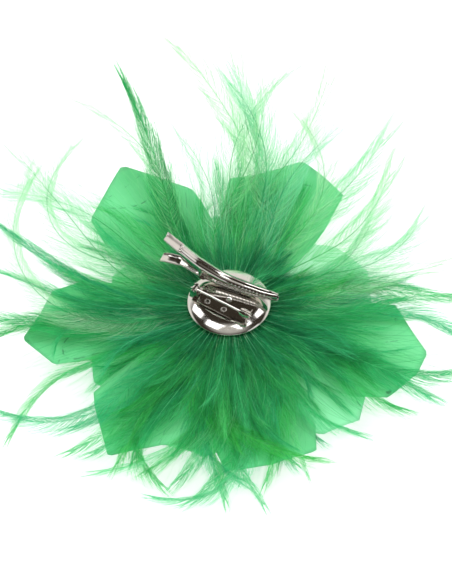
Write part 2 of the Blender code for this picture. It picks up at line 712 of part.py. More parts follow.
def petal_rows(family, reach, root_z):
    """Rows across a petal on +X, on a surface turned round the flower's axis."""
    across = 5
    rows = []
    for share, width_share in PETAL_OUTLINE:
        x = PETAL_ROOT_X + (reach - PETAL_ROOT_X) * share
        row = []
        for i in range(across):
            y = family["half_width"] * width_share * (2 * i / (across - 1) - 1)
            row.append(Vector((x, y, root_z - droop_at(math.hypot(x, y), family))))
        rows.append(row)
    return rows


def make_petals(word, family, root_z, overlapping):
    """One round of petals. Where they overlap, every second one lies a step lower."""
    for number, (bearing, reach) in enumerate(family["petals"], 1):
        step = SUBLAYER_STEP if overlapping and number % 2 == 0 else 0.0
        rows = petal_rows(family, reach * MM, root_z - step)
        petal = sheet(f"petal_{word}_{number}", rows, PETAL_THICKNESS, SATIN)
        petal.rotation_euler = (0.0, 0.0, math.radians(bearing))


# ---------------------------------------------------------------- feathers


def vane_width(share):
    """Half width of a feather's vane at a share of its length: a slim leaf, widest before the middle."""
    return FEATHER_HALF_WIDTH * (0.12 + 0.88 * math.sin(math.pi * min(share, 0.999) ** 0.75) ** 0.9)


def feather_rows(reach, rise, sweep, root_z, petals_above):
    stations = 9
    rows = []
    for i in range(stations):
        share = i / (stations - 1)
        x = FEATHER_ROOT_X + (reach - FEATHER_ROOT_X) * share
        climb = max((x - FEATHER_FLAT_TO) / (reach - FEATHER_FLAT_TO), 0.0)
        middle = sweep * reach * share**2
        w = vane_width(share)
        row = []
        for y in (middle - w, middle, middle + w):
            droop = droop_at(math.hypot(x, y), petals_above) if petals_above else 0.0
            row.append(Vector((x, y, root_z - droop + rise * climb**FEATHER_RISE_POWER)))
        rows.append(row)
    return rows


def make_tier(word, feathers, root_z, petals_above=None):
    for number, (bearing, reach, rise, sweep) in enumerate(feathers, 1):
        rows = feather_rows(reach * MM, rise * MM, sweep, root_z, petals_above)
        feather = sheet(f"feather_{word}_{number}", rows, FEATHER_THICKNESS, FEATHER)
        feather.rotation_euler = (0.0, 0.0, math.radians(bearing))


empty_scene()
PIECES = new_collection("feather_fascinator")
CUTTERS = new_collection("cutters")
CHROME = new_material("chrome", (0.80, 0.79, 0.77), 0.12, 1.0)
SPRING_STEEL = new_material("spring_steel", (0.55, 0.54, 0.52), 0.30, 1.0)
SOLDER = new_material("solder", (0.62, 0.61, 0.60), 0.45, 1.0)
GLUE = new_material("hot_glue", (0.72, 0.80, 0.70), 0.35, 0.0)
FELT = new_material("green_felt", (0.02, 0.22, 0.07), 0.95, 0.0)
SATIN = new_material("green_petal_fabric", (0.12, 0.56, 0.22), 0.60, 0.0)
FEATHER = new_material("green_feather", (0.07, 0.42, 0.14), 0.70, 0.0)

make_plate()
make_stack()
make_button()
make_clip()
make_brooch()
make_petals("back", BACK_PETALS, BACK_PETALS_Z, True)
make_petals("mid", MID_PETALS, MID_PETALS_Z, True)
make_petals("front", FRONT_PETALS, FRONT_PETALS_Z, False)
make_tier("upper", UPPER_TIER, UPPER_TIER_Z)
make_tier("middle", MIDDLE_TIER, MIDDLE_TIER_Z)
make_tier("lower", LOWER_TIER, LOWER_TIER_Z, MID_PETALS)
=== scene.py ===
import math

import bmesh
import bpy
import numpy as np
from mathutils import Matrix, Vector


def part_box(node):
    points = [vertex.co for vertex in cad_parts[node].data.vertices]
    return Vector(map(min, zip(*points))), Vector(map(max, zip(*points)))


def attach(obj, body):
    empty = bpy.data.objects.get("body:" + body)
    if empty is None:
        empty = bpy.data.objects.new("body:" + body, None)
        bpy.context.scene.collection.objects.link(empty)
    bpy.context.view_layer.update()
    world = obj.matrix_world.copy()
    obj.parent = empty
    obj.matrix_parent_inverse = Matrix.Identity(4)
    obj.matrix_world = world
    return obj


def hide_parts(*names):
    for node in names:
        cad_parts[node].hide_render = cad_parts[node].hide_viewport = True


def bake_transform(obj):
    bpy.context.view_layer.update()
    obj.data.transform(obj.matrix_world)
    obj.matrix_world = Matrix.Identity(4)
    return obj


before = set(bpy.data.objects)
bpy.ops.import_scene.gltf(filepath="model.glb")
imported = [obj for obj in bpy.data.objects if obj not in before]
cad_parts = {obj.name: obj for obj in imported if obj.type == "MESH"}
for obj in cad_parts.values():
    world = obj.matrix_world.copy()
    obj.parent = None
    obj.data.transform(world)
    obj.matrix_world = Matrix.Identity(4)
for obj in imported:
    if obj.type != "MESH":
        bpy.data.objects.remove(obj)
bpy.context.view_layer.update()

MM = 0.001
FLOWER = "flower"  # the body that everything but the clip's lever, the pin and the catch rides on
scene = bpy.context.scene

# ---------------------------------------------------------------- camera, floor and light
# The flower lies face down on a bright white table. Its metal back looks up at a dark room with soft
# boxes overhead, and past the table's far side at a white sheet.
VIEW_AZIMUTH = math.radians(23.5)
VIEW_ELEVATION = math.radians(52.0)
VIEW_HEIGHT = 243.4 * MM
LENS = 200.0
SENSOR = 36.0

flat_back = Vector((math.sin(VIEW_AZIMUTH), -math.cos(VIEW_AZIMUTH), 0.0))  # level, towards the camera
camera_right = Vector((math.cos(VIEW_AZIMUTH), math.sin(VIEW_AZIMUTH), 0.0))
camera_back = flat_back * math.cos(VIEW_ELEVATION) + Vector((0, 0, math.sin(VIEW_ELEVATION)))
camera_up = camera_back.cross(camera_right)
plate_middle = Vector((0.0, 0.0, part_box("back_plate")[1].z))
AIM_LEFT, AIM_UP = 1.25, 3.0  # where the camera aims, beside and above the plate, in millimetres
aim = plate_middle - camera_right * AIM_LEFT * MM + camera_up * AIM_UP * MM

camera = bpy.data.objects.new("camera", bpy.data.cameras.new("camera"))
scene.collection.objects.link(camera)
camera.data.lens = LENS
camera.data.sensor_width = SENSOR
camera.data.clip_start = 0.05
camera.location = aim + camera_back * (VIEW_HEIGHT * LENS / SENSOR)
camera.rotation_mode = "QUATERNION"
camera.rotation_quaternion = (-camera_back).to_track_quat("-Z", "Y")
scene.camera = camera
scene.view_settings.view_transform = "Standard"

FLOOR_SIZE = 6.0
FLOOR_DROP = 0.2 * MM  # just clear of the button's face
floor_mesh = bpy.data.meshes.new("floor")
half = FLOOR_SIZE / 2
floor_corners = [(-half, -half, 0), (half, -half, 0), (half, half, 0), (-half, half, 0)]
floor_mesh.from_pydata(floor_corners, [], [(0, 1, 2, 3)])
floor = bpy.data.objects.new("floor", floor_mesh)
floor.location.z = -FLOOR_DROP
scene.collection.objects.link(floor)


def shader_nodes(name):
    """A new material, its node tree and its Principled shader."""
    material = bpy.data.materials.new(name)
    material.use_nodes = True
    tree = material.node_tree
    return material, tree, tree.nodes["Principled BSDF"]


floor_material, _, floor_shader = shader_nodes("white_table")
floor_shader.inputs["Base Color"].default_value = (0.55, 0.55, 0.55, 1.0)
floor_shader.inputs["Roughness"].default_value = 0.9
floor_shader.inputs["Specular IOR Level"].default_value = 0.1
floor_shader.inputs["Emission Color"].default_value = (1.0, 1.0, 1.0, 1.0)
floor_shader.inputs["Emission Strength"].default_value = 0.72
floor_mesh.materials.append(floor_material)

world = bpy.data.worlds.new("studio")
scene.world = world
world.use_nodes = True
nodes, links = world.node_tree.nodes, world.node_tree.links
nodes.clear()
out = nodes.new("ShaderNodeOutputWorld")
coords = nodes.new("ShaderNodeTexCoord")
height = nodes.new("ShaderNodeSeparateXYZ")
links.new(coords.outputs["Generated"], height.inputs[0])
facing = nodes.new("ShaderNodeVectorMath")  # 1 straight away from the camera's side, -1 on it
facing.operation = "DOT_PRODUCT"
facing.inputs[1].default_value = -flat_back
links.new(coords.outputs["Generated"], facing.inputs[0])
# Brightness up the far side, and up the near side.
far_side = nodes.new("ShaderNodeValToRGB")
near_side = nodes.new("ShaderNodeValToRGB")
links.new(height.outputs["Z"], far_side.inputs["Fac"])
links.new(height.outputs["Z"], near_side.inputs["Fac"])


def set_ramp(ramp, stops):
    """Colour stops of (place, (red, green, blue))."""
    elements = ramp.color_ramp.elements
    while len(elements) < len(stops):
        elements.new(0.5)
    for element, (place, colour) in zip(elements, stops):
        element.position = place
        element.color = (*colour, 1.0)


DARK_ROOM = (0.035, 0.028, 0.020)
WHITE_SHEET = (0.84, 0.81, 0.76)
CEILING = (0.50, 0.48, 0.44)
NEAR_TABLE = (0.30, 0.28, 0.25)
set_ramp(
    far_side,
    [(0.0, WHITE_SHEET), (0.60, WHITE_SHEET), (0.72, DARK_ROOM), (0.93, DARK_ROOM), (1.0, CEILING)],
)
set_ramp(near_side, [(0.0, NEAR_TABLE), (0.3, DARK_ROOM), (0.85, DARK_ROOM), (1.0, CEILING)])
side_mix = nodes.new("ShaderNodeMix")
side_mix.data_type = "RGBA"
side_share = nodes.new("ShaderNodeMapRange")
side_share.inputs["From Min"].default_value = -0.25
side_share.inputs["From Max"].default_value = 0.1
links.new(facing.outputs["Value"], side_share.inputs["Value"])
links.new(side_share.outputs["Result"], side_mix.inputs["Factor"])
links.new(near_side.outputs["Color"], side_mix.inputs["A"])
links.new(far_side.outputs["Color"], side_mix.inputs["B"])
# Seen straight on the room is plain white, so that every side has the same pale backdrop.
room = nodes.new("ShaderNodeBackground")
backdrop = nodes.new("ShaderNodeBackground")
seen = nodes.new("ShaderNodeLightPath")
either = nodes.new("ShaderNodeMixShader")
links.new(side_mix.outputs["Result"], room.inputs["Color"])
room.inputs["Strength"].default_value = 1.0
backdrop.inputs["Color"].default_value = (1.0, 1.0, 1.0, 1.0)
links.new(seen.outputs["Is Camera Ray"], either.inputs["Fac"])
links.new(room.outputs[0], either.inputs[1])
links.new(backdrop.outputs[0], either.inputs[2])
links.new(either.outputs[0], out.inputs["Surface"])

# Lamps: (name, azimuth from the camera's side, elevation, width, height, watts, whether metal mirrors it).
# Two big ones light the flower. The small ones are what the plating shines with.
LAMP_DISTANCE = 1.0
LAMPS = (
    ("key_left", -70.0, 58.0, 0.70, 0.60, 6.4, False),
    ("key_right", 75.0, 62.0, 0.70, 0.60, 6.4, False),
    ("strip_left", -127.0, 74.0, 0.26, 0.24, 0.55, True),
    ("strip_right", 132.0, 75.0, 0.24, 0.24, 0.50, True),
    ("strip_far_left", -138.0, 53.0, 0.24, 0.26, 0.45, True),
    ("strip_far_right", 137.0, 53.0, 0.20, 0.26, 0.38, True),
    ("card_right", 66.0, 40.0, 0.50, 0.50, 0.62, True),
    ("card_near", 5.0, 36.0, 0.80, 0.30, 0.50, True),
)
for name, turn, elevation, width, depth, power, mirrored in LAMPS:
    light = bpy.data.lights.new(name, "AREA")
    light.shape = "RECTANGLE"
    light.size, light.size_y, light.energy = width, depth, power
    lamp = bpy.data.objects.new(name, light)
    lamp.visible_glossy = mirrored
    turn, elevation = math.radians(turn), math.radians(elevation)
    level = flat_back * math.cos(turn) + camera_right * math.sin(turn)
    away = level * math.cos(elevation) + Vector((0, 0, math.sin(elevation)))
    lamp.location = plate_middle + away * LAMP_DISTANCE
    lamp.rotation_mode = "QUATERNION"
    lamp.rotation_quaternion = (-away).to_track_quat("-Z", "Y")
    scene.collection.objects.link(lamp)

# ---------------------------------------------------------------- centre button
# A button form covered in green satin, on the flower's front. It holds the stack together and is what
# the flower stands on when it lies face down.
SATIN_DARK = (0.012, 0.25, 0.055)
SATIN_LIGHT = (0.045, 0.50, 0.13)


def add_piece(name, mesh, material, body=FLOWER):
    """A mesh as a piece that rides on a body, with its material in the named slot."""
    obj = bpy.data.objects.new(name, mesh)
    mesh.materials.append(material)
    scene.collection.objects.link(obj)
    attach(obj, body)
    return obj


def noise_node(tree, scale, detail=3.0, coords=None, distortion=0.0):
    node = tree.nodes.new("ShaderNodeTexNoise")
    node.inputs["Scale"].default_value = scale
    node.inputs["Detail"].default_value = detail
    node.inputs["Distortion"].default_value = distortion
    if coords is None:
        coords = tree.nodes.new("ShaderNodeTexCoord").outputs["Object"]
    tree.links.new(coords, node.inputs["Vector"])
    return node.outputs["Fac"]


def ramp_node(tree, value, stops):
    node = tree.nodes.new("ShaderNodeValToRGB")
    set_ramp(node, stops)
    tree.links.new(value, node.inputs["Fac"])
    return node.outputs["Color"]


def bump_node(tree, value, strength, distance, under=None):
    node = tree.nodes.new("ShaderNodeBump")
    node.inputs["Strength"].default_value = strength
    node.inputs["Distance"].default_value = distance
    tree.links.new(value, node.inputs["Height"])
    if under is not None:
        tree.links.new(under, node.inputs["Normal"])
    return node.outputs["Normal"]


def math_node(tree, operation, a, b=0.0, c=0.0):
    node = tree.nodes.new("ShaderNodeMath")
    node.operation = operation
    for i, value in enumerate((a, b, c)):
        if isinstance(value, (int, float)):
            node.inputs[i].default_value = value
        else:
            tree.links.new(value, node.inputs[i])
    return node.outputs[0]


def weave_height(tree, coords, pitch):
    """Over and under threads a pitch apart: high where a warp or a weft thread crests."""
    split = tree.nodes.new("ShaderNodeSeparateXYZ")
    tree.links.new(coords, split.inputs[0])
    waves = []
    for axis in ("X", "Y"):
        angle = math_node(tree, "MULTIPLY", split.outputs[axis], 2 * math.pi / pitch)
        waves.append(math_node(tree, "SINE", angle))
    return math_node(tree, "MULTIPLY", waves[0], waves[1])


def lit_through(tree, shader, colour, share):
    """The shader, with a share of light that comes through from behind in this colour."""
    through = tree.nodes.new("ShaderNodeBsdfTranslucent")
    mix = tree.nodes.new("ShaderNodeMixShader")
    mix.inputs["Fac"].default_value = share
    tree.links.new(colour, through.inputs["Color"])
    tree.links.new(shader.outputs[0], mix.inputs[1])
    tree.links.new(through.outputs[0], mix.inputs[2])
    return mix.outputs[0]


def satin(name, dark, light, roughness, translucent, thread=0.3 * MM):
    """Woven satin: blotches of the two greens, threads, and light that comes through from behind."""
    material, tree, shader = shader_nodes(name)
    coords = tree.nodes.new("ShaderNodeTexCoord").outputs["Object"]
    blotch = noise_node(tree, 45.0, 4.0, coords)
    colour = ramp_node(tree, blotch, [(0.35, dark), (0.65, light)])
    threads = weave_height(tree, coords, thread)
    crumple = noise_node(tree, 160.0, 4.0, coords)
    normal = bump_node(tree, threads, 0.25, 0.05 * MM, bump_node(tree, crumple, 0.3, 0.5 * MM))
    tree.links.new(colour, shader.inputs["Base Color"])
    tree.links.new(normal, shader.inputs["Normal"])
    shader.inputs["Roughness"].default_value = roughness
    shader.inputs["Sheen Weight"].default_value = 0.3
    shader.inputs["Sheen Roughness"].default_value = 0.4
    shader.inputs["Specular IOR Level"].default_value = 0.3
    if translucent:
        surface = lit_through(tree, shader, colour, translucent)
        tree.links.new(surface, tree.nodes["Material Output"].inputs["Surface"])
    return material


button_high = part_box("centre_button")[1]
BUTTON_RADIUS = button_high.x
BUTTON_HEIGHT = button_high.z
BUTTON_PLEATS = 22  # where the cloth is drawn in under the button
PLEATED_FROM = 0.45  # share of the height at which the pleats begin
PLEAT_DEPTH = 0.12
BUTTON_FULLNESS = 0.75  # 1 is a ball, less is squarer
RINGS, SPOKES = 30, 132


def welded_mesh(name, points, faces):
    """A smooth mesh whose coinciding points are made one and whose faces all look outwards."""
    mesh = bpy.data.meshes.new(name)
    mesh.from_pydata(points, [], faces)
    bm = bmesh.new()
    bm.from_mesh(mesh)
    bmesh.ops.remove_doubles(bm, verts=bm.verts, dist=0.01 * MM)
    bmesh.ops.recalc_face_normals(bm, faces=bm.faces)
    bm.to_mesh(mesh)
    bm.free()
    mesh.shade_smooth()
    return mesh


def covered_button():
    points = []
    for ring in range(RINGS + 1):
        turn = math.pi * ring / RINGS  # 0 at the bottom face, half a turn at the stem side
        height = BUTTON_HEIGHT / 2 * (1 - math.cos(turn))
        radius = BUTTON_RADIUS * math.sin(turn) ** BUTTON_FULLNESS
        drawn_in = max(height / BUTTON_HEIGHT - PLEATED_FROM, 0.0)
        for spoke in range(SPOKES):
            angle = 2 * math.pi * spoke / SPOKES
            fold = 1 + math.cos(BUTTON_PLEATS * angle + 0.6 * math.sin(3 * angle))
            pleat = 1.0 - drawn_in * PLEAT_DEPTH * fold
            points.append((radius * pleat * math.cos(angle), radius * pleat * math.sin(angle), height))
    faces = []
    for ring in range(RINGS):
        for spoke in range(SPOKES):
            a, b = ring * SPOKES + spoke, ring * SPOKES + (spoke + 1) % SPOKES
            faces.append((a, b, b + SPOKES, a + SPOKES))
    return welded_mesh("covered_button", points, faces)


button_satin = satin("button_satin", SATIN_DARK, SATIN_LIGHT, 0.38, 0.0)
button = add_piece("button", covered_button(), button_satin)
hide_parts("centre_button")

# ---------------------------------------------------------------- petals
# Seventeen petals of thin green satin in three rounds, each cut with a hot blade into a fan with
# corners, and gathered at the root where the stack is glued together.
FABRIC = 0.16 * MM
PETAL_ROOT = 7.0 * MM  # from the flower's axis to where the petal is gathered
ROOT_HALF_WIDTH = 3.0  # of the gathered root, in millimetres
BELLY = 3.5  # how far a petal's sides bow out, in millimetres
GATHER_REACH = 24  # the gathers fade out about here, in millimetres
STACK_REACH = 80  # how far out the stack's waves are measured, in millimetres
PETAL_ROWS, PETAL_COLUMNS = 26, 30
# The outline of each petal as corners of (bearing in degrees, reach in millimetres), going clockwise.
BACK_OUTLINES = (
    ((27.5, 70), (19.5, 75), (9.5, 85), (2.0, 84), (-9.5, 78), (-17, 66)),
    ((114.5, 68), (113.5, 77), (93.0, 91.5), (76.5, 82), (71.5, 61)),
    ((168.5, 64), (162.5, 79), (143.5, 93), (126.5, 72), (124.0, 62)),
    ((225.5, 66), (223.5, 77), (210.5, 87), (202.0, 79), (192.5, 76), (186, 64)),
    ((281.5, 73), (271.5, 71), (264.5, 77), (258.5, 86), (244.5, 73), (239.5, 69)),
    ((326.0, 66), (321.5, 76), (306.5, 78), (292.5, 80), (288.0, 68)),
)
# The inner rounds: (bearing, reach, half the angle that the petal takes in).
MID_FANS = ((50, 66, 26), (118, 60, 22), (175, 56, 20), (230, 64, 21), (282, 70, 24), (340.5, 73, 20))
FRONT_FANS = ((36, 54, 24), (108, 54, 24), (180, 54, 24), (252, 54, 24), (324, 54, 24))
# A fan's corners: (share of half its angle, share of its reach).
FAN_CORNERS = ((1.0, 0.80), (0.62, 0.92), (0.1, 1.0), (-0.55, 0.93), (-1.0, 0.79))
petal_luck = np.random.default_rng(11)


def fan_outline(bearing, reach, spread):
    """A cut fan of five corners, none quite alike."""
    outline = []
    for turn, share in FAN_CORNERS:
        turn += petal_luck.uniform(-0.1, 0.1)
        outline.append((bearing + spread * turn, reach * share))
    return outline


def outline_points(corners, count):
    """Points evenly spread along the corners' outline, with the corners hardly rounded off."""
    turn = np.radians([bearing for bearing, _ in corners])
    reach = np.array([r for _, r in corners]) * MM
    xy = np.stack([reach * np.cos(turn), reach * np.sin(turn)], axis=1)
    along = np.concatenate([[0], np.cumsum(np.linalg.norm(np.diff(xy, axis=0), axis=1))])
    at = np.linspace(0, along[-1], count)
    return np.stack([np.interp(at, along, xy[:, 0]), np.interp(at, along, xy[:, 1])], axis=1)


def grid_faces(rows, columns, first=0):
    """The four corners of each cell of a grid of points that is counted row by row."""
    i = first + np.arange(rows * columns).reshape(rows, columns)
    return np.stack([i[:-1, :-1], i[1:, :-1], i[1:, 1:], i[:-1, 1:]], axis=-1).reshape(-1, 4)


def smooth_mesh(name, points, faces):
    """A smooth mesh from arrays of points and faces."""
    mesh = bpy.data.meshes.new(name)
    mesh.from_pydata(points.reshape(-1, 3).tolist(), [], faces.tolist())
    mesh.shade_smooth()
    return mesh


def petal_sheet(name, corners, top, fall, curl):
    """Rows from the root to the outline, on a surface that comes down as the stack does. Gives the
    mesh, the size of the flat cloth that it takes, and its area."""
    rim = outline_points(corners, PETAL_COLUMNS)
    axis = rim.mean(axis=0)
    axis /= np.linalg.norm(axis)
    aside = np.array([-axis[1], axis[0]])
    root = axis * PETAL_ROOT
    share = np.linspace(0, 1, PETAL_ROWS)[:, None, None] ** 0.9
    place = np.linspace(1, -1, PETAL_COLUMNS)[None, :, None]
    root_row = root + aside * place * ROOT_HALF_WIDTH * MM
    xy = root_row * (1 - share) + rim[None] * share
    xy = xy + aside * place * BELLY * MM * np.sin(math.pi * share)
    radius = np.linalg.norm(xy, axis=2)
    furthest = np.linalg.norm(rim, axis=1).max()
    share, place = share[..., 0], place[..., 0]
    phase = petal_luck.uniform(0, 2 * math.pi, 4)
    near_root = np.exp(-((radius / (GATHER_REACH * MM)) ** 2))
    gathers = np.cos(5 * math.pi * place + phase[0]) * near_root * 0.25 * MM
    turn = np.arctan2(xy[..., 1], xy[..., 0])
    # The whole stack waves together, so that no petal cuts through the next.
    swell = (1.6 * np.sin(5 * turn + 1.1) + 0.7 * np.sin(13 * turn + 0.4)) * MM
    swell = swell * (radius / (STACK_REACH * MM)) ** 2
    folds = np.sin(9 * place + 5 * share + phase[2]) * 0.12 * MM * share
    lifted = curl * MM * np.clip(share - 0.8, 0, 1) / 0.2 * (np.sin(3 * place + phase[3]) * 0.6 + 0.4)
    z = top - fall * (radius / furthest) ** 1.6 + gathers + swell + folds + lifted
    points = np.dstack([xy, z]).reshape(-1, 3)
    faces = grid_faces(PETAL_ROWS, PETAL_COLUMNS)
    mesh = smooth_mesh(name, points, faces)
    across = np.linalg.norm(rim[0] - rim[-1])
    cells = points[faces]
    area = np.cross(cells[:, 2] - cells[:, 0], cells[:, 3] - cells[:, 1])
    area = np.linalg.norm(area, axis=1).sum() / 2
    widest = max((xy @ aside).max() - (xy @ aside).min(), across)
    flat = (round(float(widest), 3), round(float(furthest - PETAL_ROOT), 3))
    return mesh, flat, round(float(area), 6)


DARK_LINE_GREEN = (0.004, 0.12, 0.05, 1.0)
LINE_WIDTH = 0.0016  # of the noise's range, which makes lines a few tenths of a millimetre wide
LINE_BREAKS = 0.55  # higher breaks the lines up more


def lined_satin(name, dark, light, translucent):
    """The petals' satin, with thin dark lines across it, broken up into pieces."""
    material = satin(name, dark, light, 0.55, translucent)
    tree = material.node_tree
    shader = tree.nodes["Principled BSDF"]
    colour = shader.inputs["Base Color"].links[0].from_socket
    coords = tree.nodes.new("ShaderNodeTexCoord").outputs["Object"]
    lines = []
    for scale, stretch in ((14.0, (1.0, 1.6, 1.0)), (20.0, (1.7, 1.0, 1.0))):
        mapping = tree.nodes.new("ShaderNodeMapping")
        mapping.inputs["Scale"].default_value = stretch
        tree.links.new(coords, mapping.inputs["Vector"])
        field = noise_node(tree, scale, 1.0, mapping.outputs[0])
        off_centre = math_node(tree, "ABSOLUTE", math_node(tree, "SUBTRACT", field, 0.5))
        line = math_node(tree, "LESS_THAN", off_centre, LINE_WIDTH)
        broken = math_node(tree, "GREATER_THAN", noise_node(tree, 330.0, 1.0, coords), LINE_BREAKS)
        lines.append(math_node(tree, "MULTIPLY", line, broken))
    either_line = math_node(tree, "MAXIMUM", *lines)
    mix = tree.nodes.new("ShaderNodeMix")
    mix.data_type = "RGBA"
    tree.links.new(math_node(tree, "MULTIPLY", either_line, 0.5), mix.inputs["Factor"])
    tree.links.new(colour, mix.inputs["A"])
    mix.inputs["B"].default_value = DARK_LINE_GREEN
    for link in list(tree.links):
        if link.from_socket == colour and link.to_node != mix:
            tree.links.new(mix.outputs["Result"], link.to_socket)
    return material


back_satin = lined_satin("petal_satin", (0.21, 0.70, 0.36), (0.28, 0.79, 0.45), 0.5)
mid_satin = lined_satin("petal_satin_inner", (0.40, 0.86, 0.56), (0.50, 0.92, 0.66), 0.6)


def thicken(piece, name, thickness):
    """Gives a sheet its thickness, on the side away from its face."""
    wall = piece.modifiers.new(name, "SOLIDIFY")
    wall.thickness = thickness
    wall.offset = -1.0


def lay_round(word, outlines, material, curl):
    """One round of petals, each in its own place in the stack, with rims that curl up by so much."""
    for number, corners in enumerate(outlines, 1):
        node = f"petal_{word}_{number}"
        low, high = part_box(node)
        mesh, flat, area = petal_sheet(node, corners, high.z, high.z - low.z - 0.5 * MM, curl)
        petal = add_piece(f"satin_{word}_{number}", mesh, material)
        thicken(petal, "cloth", FABRIC)
        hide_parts(node)


lay_round("front", [fan_outline(*fan) for fan in FRONT_FANS], mid_satin, 0.0)
lay_round("mid", [fan_outline(*fan) for fan in MID_FANS], mid_satin, 0.6)
lay_round("back", BACK_OUTLINES, back_satin, 1.0)
# One inner petal is painted paler than the rest: painted light, for the light that comes through it where it
# lies alone.
painted_backlit_satin = lined_satin("painted_backlit_satin", (0.66, 0.94, 0.76), (0.76, 0.97, 0.84), 0.7)
bpy.data.objects["satin_mid_1"].data.materials[0] = painted_backlit_satin

# ---------------------------------------------------------------- feathers
# Dyed cock hackles in three tiers. Each has a tapering quill, slim barbs on both sides that lean
# towards the tip, and curly down near the root. Their roots are glued between the petals and the felt.
QUILL_ROOT = 9.0 * MM
FLAT_TO = 22.0 * MM  # a feather lies flat in the stack as far out as this
BARB_STEPS = 5
WEB_PITCH = 0.6 * MM  # between the rows of a web, along the quill
feather_luck = np.random.default_rng(7)


class Strands:
    """Ribbons and webs gathered into one mesh, with how pale, how warm and how dense each point is."""

    def __init__(self):
        self.points, self.faces, self.values, self.webbed, self.count = [], [], [], [], 0

    def add(self, points, faces, pale, hue, cover, webbed):
        pale, cover = pale.reshape(-1), cover.reshape(-1)
        self.points.append(points.reshape(-1, 3))
        self.faces.append(faces.reshape(-1, 4))
        self.values.append(np.stack([pale, np.full(len(pale), hue), cover], axis=1))
        self.webbed.append(np.full(len(self.faces[-1]), webbed))
        self.count += len(pale)

    def ribbons(self, path, across, width, pale, hue):
        """Flat ribbons along paths of (ribbons, steps, 3). across is the unit direction of their width."""
        number, steps, _ = path.shape
        half = across * (width + np.zeros((number, steps)))[..., None] / 2
        both = np.stack([path - half, path + half], axis=2)
        i = self.count + np.arange(number * steps * 2).reshape(number, steps, 2)
        quads = np.stack([i[:, :-1, 0], i[:, 1:, 0], i[:, 1:, 1], i[:, :-1, 1]], axis=-1)
        pale = np.repeat((pale + np.zeros((number, steps)))[..., None], 2, axis=2)
        self.add(both, quads, pale, hue, np.ones(pale.size), 0)

    def web(self, rows, cover, pale, hue):
        """A sheet through rows of points, as dense at each point as cover says."""
        self.add(rows, grid_faces(*rows.shape[:2], self.count), pale, hue, np.clip(cover, 0, 1), 1)

    def mesh(self, name):
        points, faces = np.concatenate(self.points), np.concatenate(self.faces)
        mesh = bpy.data.meshes.new(name)
        mesh.vertices.add(len(points))
        mesh.vertices.foreach_set("co", points.astype(np.float32).ravel())
        mesh.loops.add(len(faces) * 4)
        mesh.loops.foreach_set("vertex_index", faces.astype(np.int32).ravel())
        mesh.polygons.add(len(faces))
        mesh.polygons.foreach_set("loop_start", np.arange(0, len(faces) * 4, 4, dtype=np.int32))
        mesh.update(calc_edges=True)
        for word, values in zip(("pale", "hue", "cover"), np.concatenate(self.values).T):
            layer = mesh.attributes.new(word, "FLOAT", "POINT")
            layer.data.foreach_set("value", values.astype(np.float32))
        # Every face gets its own small cell of the map that a bake would use.
        side = math.ceil(math.sqrt(len(faces)))
        cell = np.arange(len(faces))
        corner = np.array([(0.1, 0.1), (0.9, 0.1), (0.9, 0.9), (0.1, 0.9)])
        uv = (np.stack([cell % side, cell // side], axis=1)[:, None, :] + corner[None]) / side
        layer = mesh.uv_layers.new(name="OFBake")
        layer.data.foreach_set("uv", uv.astype(np.float32).ravel())
        mesh.shade_smooth()
        return mesh

    def webbed_faces(self):
        """1 for each face of a web, 0 for each face of a ribbon."""
        return np.concatenate(self.webbed).astype(np.int32)


def quill_path(bearing, reach, root, tip_height, bend, sway, hook=0.0, steps=48):
    """A quill's points from under the felt to its tip: flat in the stack, then rising to the tip.
    hook is how far round, in radians, the last part of the feather turns."""
    share = np.linspace(0, 1, steps)
    heading = math.pi * (bend * np.cos(math.pi * share) + 2 * sway * np.cos(2 * math.pi * share))
    heading = heading + hook * share**3
    run = np.cumsum(np.stack([np.cos(heading), np.sin(heading)], axis=1), axis=0)
    run -= run[0]
    # Turned and stretched so that the tip is at its bearing and reach.
    turn = math.radians(bearing) - math.atan2(run[-1, 1], run[-1, 0])
    run *= (reach - QUILL_ROOT) / np.linalg.norm(run[-1])
    c, s = math.cos(turn), math.sin(turn)
    x = run[:, 0] * c - run[:, 1] * s + QUILL_ROOT * math.cos(math.radians(bearing))
    y = run[:, 0] * s + run[:, 1] * c + QUILL_ROOT * math.sin(math.radians(bearing))
    climb = np.clip((share * reach - FLAT_TO) / (reach - FLAT_TO), 0, 1)
    return np.stack([x, y, root + (tip_height - root) * climb**1.6], axis=1)


def unit(v):
    return v / np.maximum(np.linalg.norm(v, axis=-1, keepdims=True), 1e-9)


def at(table, share):
    """Values of a table at shares of its length."""
    places = share * (len(table) - 1)
    low = np.clip(places.astype(int), 0, len(table) - 2)
    part = (places - low)[..., None]
    return table[low] * (1 - part) + table[low + 1] * part


def vane_axes(path, roll):
    """Along the quill, out across the vane, and square to the vane, at each point of the path."""
    forward = unit(np.gradient(path, axis=0))
    level = unit(np.cross(np.array([0.0, 0.0, 1.0]) + 0 * forward, forward))
    up = unit(np.cross(forward, level))
    c, s = math.cos(roll), math.sin(roll)
    return forward, level * c + up * s, up * c - level * s


